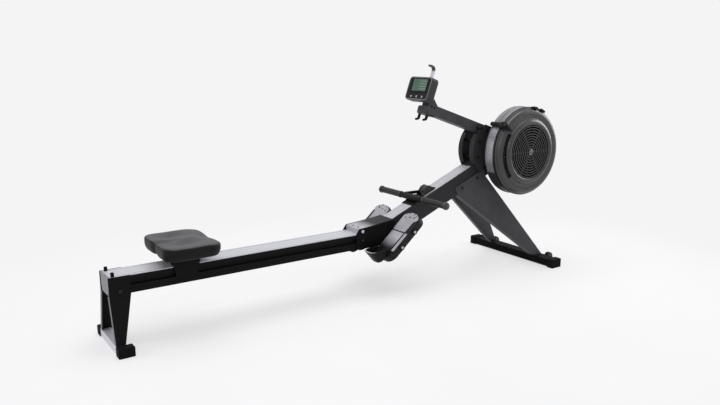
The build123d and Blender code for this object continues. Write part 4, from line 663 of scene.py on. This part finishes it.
def thicken(shape, height):
    """Gives a flat shape its height along Z."""
    lifted = bmesh.ops.extrude_face_region(shape, geom=list(shape.faces))["geom"]
    top = [v for v in lifted if isinstance(v, bmesh.types.BMVert)]
    bmesh.ops.translate(shape, verts=top, vec=(0.0, 0.0, height))


def show(name, shape, finish, body, hides=(), angle=40.0):
    """Makes the piece, paints it and sets it on its body; edges sharper than angle stay sharp."""
    bmesh.ops.recalc_face_normals(shape, faces=shape.faces)
    mesh = bpy.data.meshes.new(name)
    shape.to_mesh(mesh)
    shape.free()
    mesh.materials.append(finish)
    mesh.shade_smooth()
    mesh.set_sharp_from_angle(angle=radians(angle))
    made = bpy.data.objects.new(name, mesh)
    scene.collection.objects.link(made)
    if hides:
        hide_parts(*hides)
    if body:
        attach(made, body)
    return made


def heads(name, finish, outline, places):
    """Screw or bolt heads on the frame."""
    shape = bmesh.new()
    for place in places:
        turned(shape, outline, place, steps=20)
    show(name, shape, finish, "frame")


def ease(value, low, high):
    """0 up to low, 1 from high on, smooth between, for low above high too."""
    share = min(1.0, max(0.0, (value - low) / (high - low)))
    return share * share * (3 - 2 * share)


def hump(value, width):
    """1 at 0, falling off smoothly over width on either side."""
    return exp(-((value / width) ** 2))


# Seat
def seat_vinyl():
    """Leathery vinyl, dark grey on top and near-black on the sides; the lighter top is painted sheen."""
    f = Finish("seat_vinyl", Specular_IOR_Level=0.15)
    up = facing(f, (0.0, 0.0, 1.0)).rise(0.55, 0.95)
    drift = f.noise(12.0, 4.0)
    grain = f.cells(700.0)
    # Upward faces are painted lighter than the sides: painted sheen on the top.
    top = f.mix(drift.full(), tone(0.05), tone(0.07))
    side = f.mix(drift.full(), tone(0.003), tone(0.005))
    return f.finish(f.mix(up, side, top), drift * 0.14 + grain * 0.1 + 0.36, f.bump(grain, 0.0002))


def rise_of(edge):
    return abs(edge.verts[0].co.z - edge.verts[1].co.z)


seat_low, seat_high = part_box("seat_pad")
seat_middle = (seat_low + seat_high) / 2
seat_half = (seat_high - seat_low) / 2
seat_corner = 0.05
seat_edge = 0.008
shape = bmesh.new()
block(shape, Matrix.Translation(seat_middle), seat_half * 2)
soften(shape, [e for e in shape.edges if rise_of(e) > seat_half.z], seat_corner, 9)
soften(shape, [e for e in shape.edges if rise_of(e) < 1e-6], seat_edge, 3)
blank = show("seat_blank", shape, plastic_black, None)
remesh = blank.modifiers.new("remesh", "REMESH")
remesh.mode = "VOXEL"
remesh.voxel_size = 0.005
bpy.context.view_layer.update()
foam = bpy.data.meshes.new_from_object(blank.evaluated_get(bpy.context.evaluated_depsgraph_get()))
bpy.data.objects.remove(blank)
shape = bmesh.new()
shape.from_mesh(foam)
for v in shape.verts:
    x, y, z = v.co - seat_middle
    upper = ease(z, 0.0, seat_half.z)
    lower = ease(z, 0.0, -seat_half.z)
    hollows = 0.010 * hump(x + 0.022, 0.062) * hump(abs(y) - 0.066, 0.046)
    back_groove = 0.015 * hump(y, 0.017) * ease(x, 0.01, -0.085)
    front_slope = 0.006 * ease(x, 0.02, seat_half.x) ** 2
    front_dip = 0.005 * hump(y, 0.040) * ease(x, 0.03, 0.11)
    side_slope = 0.002 * ease(abs(y), 0.12, 0.15)
    back_lift = 0.001 * ease(x, -0.03, -seat_half.x)
    back_notch = 0.010 * hump(y, 0.022) * ease(x, -0.06, -seat_half.x)
    front_notch = 0.003 * hump(y, 0.06) * ease(x, 0.06, seat_half.x)
    length_taper = 0.05 * x * lower
    width_taper = 0.04 * y * lower
    v.co.z -= upper * (hollows + back_groove + front_slope + front_dip + side_slope - back_lift)
    v.co.x += back_notch - front_notch - length_taper
    v.co.y -= width_taper
bmesh.ops.smooth_vert(
    shape, verts=shape.verts, factor=0.5, use_axis_x=True, use_axis_y=True, use_axis_z=True
)
seat = show("seat_cushion", shape, seat_vinyl(), None, hides=["seat_pad"], angle=180.0)
soft = seat.modifiers.new("soft", "SUBSURF")
soft.levels = soft.render_levels = 1
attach(seat, "seat")

# Handle: bar, yoke of two prongs with the chain's pin, and rings at both ends of each grip
boom_point = Vector((0.0685, 0.0, 0.287))
boom_along = Vector((0.9239, 0.0, 0.3827))
boom_up = Vector((-0.3827, 0.0, 0.9239))
chain_rise = 0.017


def on_chain(along):
    """A point of the chain's line above the boom."""
    return boom_point + boom_along * along + boom_up * chain_rise


bar = on_chain(0.280)
eye = on_chain(0.336)

# Sections of the bar's left half: place, half width and half thickness
bar_half = [
    (0.020, 0.0210, 0.0106),
    (0.045, 0.0185, 0.0120),
    (0.070, 0.0158, 0.0136),
    (0.083, 0.0148, 0.0138),
    (0.088, 0.0105, 0.0105),
    (0.248, 0.0105, 0.0105),
]
bar_sections = [(-y, wide, thick) for y, wide, thick in reversed(bar_half)] + bar_half
prong_root = 0.090
prong_root_ahead = 0.006
prong_tip = 0.011
prong_tip_behind = 0.002
prong_overlap = 0.008
prong_width = 0.0105
prong_thick = 0.0145
prong_edge = 0.003
cheek_out = 0.0058
cheek_outline = [(0.0, 0.0), (0.0068, 0.0), (0.0068, 0.0058)]
pin_half = 0.0065
pin_outline = [(0.0, 0.0), (0.0034, 0.0), (0.0034, 0.013)]
shape = bmesh.new()
lofted(shape, [(bar + left * y, boom_along * wide, boom_up * thick) for y, wide, thick in bar_sections])
for side in (-1, 1):
    root = bar + left * side * prong_root + boom_along * prong_root_ahead
    tip = eye + left * side * prong_tip - boom_along * prong_tip_behind
    run = tip - root
    prong = set_at((root + tip) / 2, run, boom_up)
    block(shape, prong, (run.length + prong_overlap, prong_width, prong_thick), prong_edge)
    cheek = set_at(eye + left * side * cheek_out, boom_along, left * side)
    turned(shape, cheek_outline, cheek, steps=24)
turned(shape, pin_outline, set_at(eye - left * pin_half, boom_along, left), steps=16)
handle_nodes = ["handle_bar", "handle_yoke"]
show("handle_core", shape, plastic_black, "handle", hides=handle_nodes)

grip_tip = 0.252
grip_root = 0.088
tip_outline = [
    (0.0, 0.003),
    (0.0140, 0.003),
    (0.0178, 0.0008),
    (0.0182, -0.003),
    (0.0182, -0.009),
    (0.0150, -0.0112),
]
collar_outline = [(0.0150, -0.003), (0.0168, -0.002), (0.0168, 0.004), (0.0150, 0.005)]
shape = bmesh.new()
for side in (-1, 1):
    turned(shape, tip_outline, set_at(bar + left * side * grip_tip, boom_along, left * side), steps=32)
    turned(shape, collar_outline, set_at(bar + left * side * grip_root, boom_along, left * side), steps=32)
ring_rubber = satin("grip_ring_rubber", 0.03, 0.5, grain=2000.0)
show("grip_rings", shape, ring_rubber, "handle")

# Chain between the guide and the handle
chain_front = 0.372
chain_back = 0.338
chain_length = chain_front - chain_back
chain_width = 0.0066
chain_thick = 0.005
shape = bmesh.new()
chain_place = set_at((on_chain(chain_front) + on_chain(chain_back)) / 2, boom_along, boom_up)
block(shape, chain_place, (chain_length, chain_width, chain_thick))
length_edges = [
    e for e in shape.edges if abs((e.verts[1].co - e.verts[0].co).dot(boom_along)) > chain_length / 2
]
bmesh.ops.subdivide_edges(shape, edges=length_edges, cuts=23, use_grid_fill=True)
chain = show("chain_run", shape, steel_dark, None)
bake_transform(chain)

# Flanges of the guide roller, either side of the chain
roller_low, roller_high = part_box("guide_roller")
roller = (roller_low + roller_high) / 2
flange_places = (-0.0166, -0.0134, 0.0134, 0.0166)
flange_outline = [
    (0.0250, -0.0013),
    (0.0278, -0.0012),
    (0.0286, 0.0),
    (0.0278, 0.0012),
    (0.0250, 0.0013),
]
shape = bmesh.new()
for y in flange_places:
    turned(shape, flange_outline, set_at(roller + left * y, (1, 0, 0), left), steps=64)
show("guide_flanges", shape, plastic_rim, "guide_wheel")


# Fan: rounded cover, grille hub, damper scale and lever, and clips at the rim
def on_fan(y):
    """Place on the fan's axis, facing out of the cover."""
    return set_at(Vector((fan.x, y, fan.z)), (1, 0, 0), (0, -1, 0))


cover_outline = [
    (0.2235, 0.0000),
    (0.2235, 0.0055),
    (0.2215, 0.0085),
    (0.2168, 0.0095),
    (0.2160, 0.0115),
    (0.2150, 0.0165),
    (0.2125, 0.0205),
    (0.2085, 0.0237),
    (0.2030, 0.0256),
    (0.1960, 0.0264),
    (0.1905, 0.0264),
    (0.1895, 0.0250),
    (0.1880, 0.0250),
    (0.1870, 0.0264),
    (0.1722, 0.0264),
    (0.1702, 0.0256),
    (0.1685, 0.0262),
    (0.1668, 0.0287),
    (0.1640, 0.0322),
    (0.1600, 0.0356),
    (0.1548, 0.0384),
    (0.1490, 0.0397),
    (0.1440, 0.0396),
    (0.1395, 0.0380),
    (0.1365, 0.0350),
    (0.1350, 0.0310),
]
shape = bmesh.new()
turned(shape, cover_outline, on_fan(fan_low.y), steps=128, closed=False)
cover = show(
    "cover_shell", shape, plastic_cover, "frame", hides=["fan_cover"], angle=50.0
)
wall = cover.modifiers.new("wall", "SOLIDIFY")
wall.thickness = 0.0025
wall.offset = -1.0

grille_outline = [
    (0.0, 0.0016),
    (0.010, 0.0016),
    (0.0112, 0.0006),
    (0.0134, 0.0006),
    (0.0150, 0.0018),
    (0.0166, 0.0012),
    (0.0172, -0.001),
]
shape = bmesh.new()
turned(shape, grille_outline, on_fan(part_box("fan_grille")[0].y))
hub_plastic = satin("hub_plastic", 0.09, 0.4, grain=1500.0, metal=0.3)
show("grille_hub", shape, hub_plastic, "frame")

face_depth = 0.0262
face_place = on_fan(fan_low.y - face_depth)

# Arcs of the scale: inner radius, outer radius and thickness
scale_arcs = ((0.1722, 0.1742, 0.0062), (0.1746, 0.1818, 0.0016), (0.1822, 0.1858, 0.0050))
scale_start = radians(-214)
scale_span = radians(76)
shape = bmesh.new()
for inner, outer, thick in scale_arcs:
    sector(shape, inner, outer, thick, scale_start, scale_span, face_place, steps=40)
show("scale_panel", shape, plastic_black, "frame")

tick_start = -206
tick_step = 6.0
tick_reach = 0.1814
tick_height = 0.0018
tick_width = 0.0012
tick_thick = 0.0008
long_tick = 0.0062
short_tick = 0.004
shape = bmesh.new()
for count in range(11):
    length = long_tick if count % 5 == 0 else short_tick
    tick = spun(face_place, radians(tick_start + tick_step * count))
    tick = shifted(tick, tick_reach - length / 2, 0.0, tick_height)
    block(shape, tick, (length, tick_width, tick_thick))
show("scale_ticks", shape, plastic_mark, "frame")

clip_depth = 0.012
clip_size = (0.012, 0.030, 0.030)
clip_sink = 0.004
clip_edge = 0.0025
clip_turns = (80, 66)
screw_outline = [(0.0, 0.0035), (0.0034, 0.0035), (0.0042, 0.002), (0.0042, -0.001)]
screw_proud = 0.0015
screw_out = 0.004
shape = bmesh.new()
for degree in clip_turns:
    rim = spun(on_fan(fan_low.y - clip_depth), radians(degree))
    block(shape, shifted(rim, drum_radius - clip_sink), clip_size, clip_edge)
    for across in (-0.008, 0.008):
        head = shifted(rim, drum_radius + screw_proud, across, screw_out)
        turned(shape, screw_outline, head @ Matrix.Rotation(pi / 2, 4, "Y"), steps=16)
show("rim_clips", shape, plastic_black, "frame")

# Blocks of the lever: reach from the drum, distance out, size and edge
lever_blocks = (
    (0.012, 0.122, (0.014, 0.020, 0.062), 0.003),
    (0.010, 0.170, (0.018, 0.034, 0.034), 0.004),
    (-0.012, 0.1915, (0.050, 0.018, 0.006), 0.002),
)
lever_turn = radians(142)
lever = spun(on_fan(0.0), lever_turn)
shape = bmesh.new()
for reach, away, size, cut in lever_blocks:
    block(shape, shifted(lever, drum_radius + reach, 0.0, away), size, cut)
show("damper_lever", shape, plastic_black, "damper_ring")

# Monitor: raised rim and display frame, both let into the face a little
face_middle = Vector((0.3499, 0.0, 0.9344))
ring_sink = 0.001


def face_ring(name, finish, size, corner, width, proud, rise):
    """A raised rounded ring on the monitor's face."""
    ring = bmesh.new()
    bmesh.ops.create_grid(ring, x_segments=1, y_segments=1, size=0.5)
    bmesh.ops.transform(ring, matrix=Matrix.Diagonal((*size, 1.0, 1.0)), verts=ring.verts)
    bmesh.ops.bevel(
        ring,
        geom=list(ring.verts),
        offset=corner,
        segments=6,
        profile=0.5,
        affect="VERTICES",
        material=-1,
    )
    middle = list(ring.faces)
    bmesh.ops.inset_region(ring, faces=middle, thickness=width, use_boundary=True)
    bmesh.ops.delete(ring, geom=middle, context="FACES_ONLY")
    thicken(ring, proud + ring_sink)
    place = set_at(face_middle + face_up * rise - face_out * ring_sink, -left, face_out)
    bmesh.ops.transform(ring, matrix=place, verts=ring.verts)
    show(name, ring, finish, "monitor")


face_ring(
    "monitor_rim", rim_grey_and_highlight, size=(0.163, 0.112), corner=0.0172, width=0.005, proud=0.0026, rise=0.0
)
face_ring(
    "display_frame",
    plastic_black,
    size=(0.121, 0.077),
    corner=0.0092,
    width=0.0085,
    proud=0.0012,
    rise=0.0170,
)

# Screws in the sides of the monitor's arm
arm_low, arm_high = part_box("monitor_arm")
arm_spots = ((0.411, 0.8475), (0.428, 0.8400))
arm_places = []
for y, away in ((arm_low.y, -left), (arm_high.y, left)):
    for x, z in arm_spots:
        arm_places.append(set_at(Vector((x, y, z)), (1, 0, 0), away))
arm_outline = [(0.0, 0.0010), (0.0046, 0.0010), (0.0054, 0.0003), (0.0054, -0.001)]
heads("arm_screws", rubber_black, arm_outline, arm_places)

# Screws in the cover over the rail's front end
cover_slope = 0.114
cover_places = []
for y in (-0.022, 0.022):
    spot = Vector((-0.014, y, 0.3109))
    cover_places.append(set_at(spot, (1.0, 0.0, cover_slope), (-cover_slope, 0.0, 1.0)))
cover_screw = [(0.0, 0.0006), (0.0022, 0.0006), (0.0024, 0.0018), (0.0042, 0.0016), (0.0050, -0.0005)]
heads("cover_screws", steel_dark, cover_screw, cover_places)

# Bolts through the footboards' lugs
lug_drop = 0.025
lug_out = 0.1766
lug_places = []
for side in (-1, 1):
    for along in (0.0318, -0.0636):
        spot = foot_point + foot_along * along - foot_up * lug_drop + left * side * lug_out
        lug_places.append(set_at(spot, foot_along, left * side))
lug_outline = [
    (0.0, 0.0010),
    (0.0030, 0.0010),
    (0.0033, 0.0026),
    (0.0058, 0.0022),
    (0.0068, 0.0),
    (0.0068, -0.001),
]
heads("lug_bolts", steel_bright, lug_outline, lug_places)

# Studded treads over the toe pads, wider than them at the toe, with black discs and blocks as painted
# shade in their holes and notches
tread_top = 0.0018
tread_foot = -0.0098
tread_corner = 0.008
tread_outline = (
    (0.0015, -0.0424),
    (0.0015, 0.0455),
    (0.066, 0.0475),
    (0.077, 0.0645),
    (0.095, 0.0580),
    (0.1105, 0.030),
    (0.1105, -0.006),
    (0.092, -0.0424),
)
tread_holes = ((0.0785, -0.0225), (0.0850, 0.0050), (0.0880, 0.0340))
hole_outline = [(0.0, 0.0002), (0.0040, 0.0002), (0.0046, -0.0004)]

# Notches lie on an oval round a point of the tread
notch_middle = (0.068, 0.010)
notch_reach = (0.040, 0.044)
notch_size = (0.009, 0.0058, 0.002)
notch_sink = 0.0008
notch_edge = 0.0006
notch_turns = (-24, 14, 46)
for side, label in ((-1, "right"), (1, "left")):
    low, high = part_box("toe_pad_" + label)
    place = set_at(foot_point + left * (low.y + high.y) / 2, foot_along, foot_up)
    shape = bmesh.new()
    corners = [Vector((along, side * away, tread_foot)) for along, away in tread_outline]
    shape.faces.new([shape.verts.new(spot) for spot in rounded(corners, tread_corner)])
    thicken(shape, tread_top - tread_foot)
    bmesh.ops.transform(shape, matrix=place, verts=shape.verts)
    show("toe_tread_" + label, shape, toe_grey, "frame")
    # Black discs over the holes and black blocks in the notches stand in for the shade inside them:
    # painted shade.
    shape = bmesh.new()
    for along, away in tread_holes:
        turned(shape, hole_outline, shifted(place, along, side * away, tread_top), steps=20)
    for degree in notch_turns:
        turn = radians(degree)
        along = notch_middle[0] + notch_reach[0] * cos(turn)
        away = notch_middle[1] + notch_reach[1] * sin(turn)
        notch = spun(shifted(place, along, side * away, tread_top - notch_sink), side * turn)
        block(shape, notch, notch_size, notch_edge, 1)
    show("toe_hole_and_notch_shade_" + label, shape, rubber_black, "frame")

# Wheel hubs
hub_outline = [
    (0.0045, 0.0008),
    (0.0085, 0.0008),
    (0.0098, -0.0004),
    (0.0155, -0.0002),
    (0.0165, 0.0006),
    (0.0178, -0.0006),
]
for label in ("right", "left"):
    low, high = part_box("transport_wheel_" + label)
    middle = (low + high) / 2
    shape = bmesh.new()
    for y, away in ((low.y, -left), (high.y, left)):
        hub = set_at(Vector((middle.x, y, middle.z)), (1, 0, 0), away)
        turned(shape, hub_outline, hub, steps=32)
    show("wheel_hub_" + label, shape, plastic_rim, "wheel_" + label)

# Camera, floor and light
backdrop = (0.905, 0.905, 0.915, 1.0)
lens = bpy.data.cameras.new("camera")
lens.sensor_width = 36.0
lens.lens = 34.98
lens.clip_start = 0.05
lens.clip_end = 100.0
camera = bpy.data.objects.new("camera", lens)
camera_dip = 0.213
camera_turn = -0.602
camera.location = (-1.7836, -2.6126, 1.1067)
camera.rotation_euler = (pi / 2 - camera_dip, 0.0, camera_turn)
scene.collection.objects.link(camera)
scene.camera = camera
scene.view_settings.view_transform = "Standard"


def floor_paper():
    """Pale paper that fades towards the backdrop away from the machine."""
    f = Finish("floor_paper")
    drift = f.noise(1.5, 3.0)
    grit = f.noise(260.0, 2.0)
    x, y = f.axes()[:2]
    dark_paper = (0.80, 0.80, 0.805, 1.0)
    light_paper = (0.83, 0.83, 0.835, 1.0)
    fade_ring = (1.25, 2.3)
    least_fade = 0.62
    paper = f.mix(drift.full(), dark_paper, light_paper)
    material = f.finish(paper, grit * 0.1 + 0.6, f.bump(grit, 0.0001))
    lit = Value(f, f.shader.outputs[0])
    glow = f.node("ShaderNodeEmission", {}, {"Color": backdrop})
    fade = x.hypot(y).rise(*fade_ring) * (1.0 - least_fade) + least_fade
    blended = f.node("ShaderNodeMixShader", {}, [fade, lit, glow])
    f.feed(f.tree.nodes["Material Output"].inputs["Surface"], blended)
    return material


ground = bmesh.new()
bmesh.ops.create_grid(ground, x_segments=1, y_segments=1, size=30.0)
floor_mesh = bpy.data.meshes.new("floor")
ground.to_mesh(floor_mesh)
ground.free()
floor_mesh.materials.append(floor_paper())
floor = bpy.data.objects.new("floor", floor_mesh)
scene.collection.objects.link(floor)


def lamp(name, place, aim, size, power):
    """A flat lamp at place that shines towards aim."""
    light = bpy.data.lights.new(name, "AREA")
    light.shape = "RECTANGLE"
    light.size, light.size_y = size
    light.energy = power
    holder = bpy.data.objects.new(name, light)
    holder.location = place
    holder.rotation_euler = (Vector(aim) - Vector(place)).to_track_quat("-Z", "Y").to_euler()
    scene.collection.objects.link(holder)


lamp("overhead", place=(0.0, 0.2, 4.2), aim=(0.0, 0.0, 0.0), size=(5.0, 3.5), power=170.0)
lamp("side", place=(-2.6, -3.4, 2.4), aim=(0.0, 0.0, 0.4), size=(2.0, 1.4), power=26.0)
lamp("rear", place=(-4.2, 1.4, 2.0), aim=(0.0, 0.0, 0.4), size=(2.5, 2.0), power=40.0)
lamp("fan_side", place=(4.1, -0.75, 1.6), aim=(0.93, -0.19, 0.6), size=(1.8, 2.2), power=70.0)

# Backdrop for what the camera sees, reflects or looks through, and a soft glow for the rest
world = bpy.data.worlds.new("studio")
scene.world = world
world.use_nodes = True
tree = world.node_tree
for old in list(tree.nodes):
    tree.nodes.remove(old)
path = tree.nodes.new("ShaderNodeLightPath")
seen = tree.nodes.new("ShaderNodeBackground")
seen.inputs["Color"].default_value = backdrop
glow = tree.nodes.new("ShaderNodeBackground")
glow.inputs["Color"].default_value = (1.0, 1.0, 1.02, 1.0)
glow.inputs["Strength"].default_value = 0.3
pick = tree.nodes.new("ShaderNodeMixShader")
last = tree.nodes.new("ShaderNodeOutputWorld")
shown = path.outputs["Is Camera Ray"]
for kind in ("Is Glossy Ray", "Is Transmission Ray"):
    either = tree.nodes.new("ShaderNodeMath")
    either.operation = "MAXIMUM"
    tree.links.new(shown, either.inputs[0])
    tree.links.new(path.outputs[kind], either.inputs[1])
    shown = either.outputs[0]
tree.links.new(shown, pick.inputs[0])
tree.links.new(glow.outputs[0], pick.inputs[1])
tree.links.new(seen.outputs[0], pick.inputs[2])
tree.links.new(pick.outputs[0], last.inputs[0])
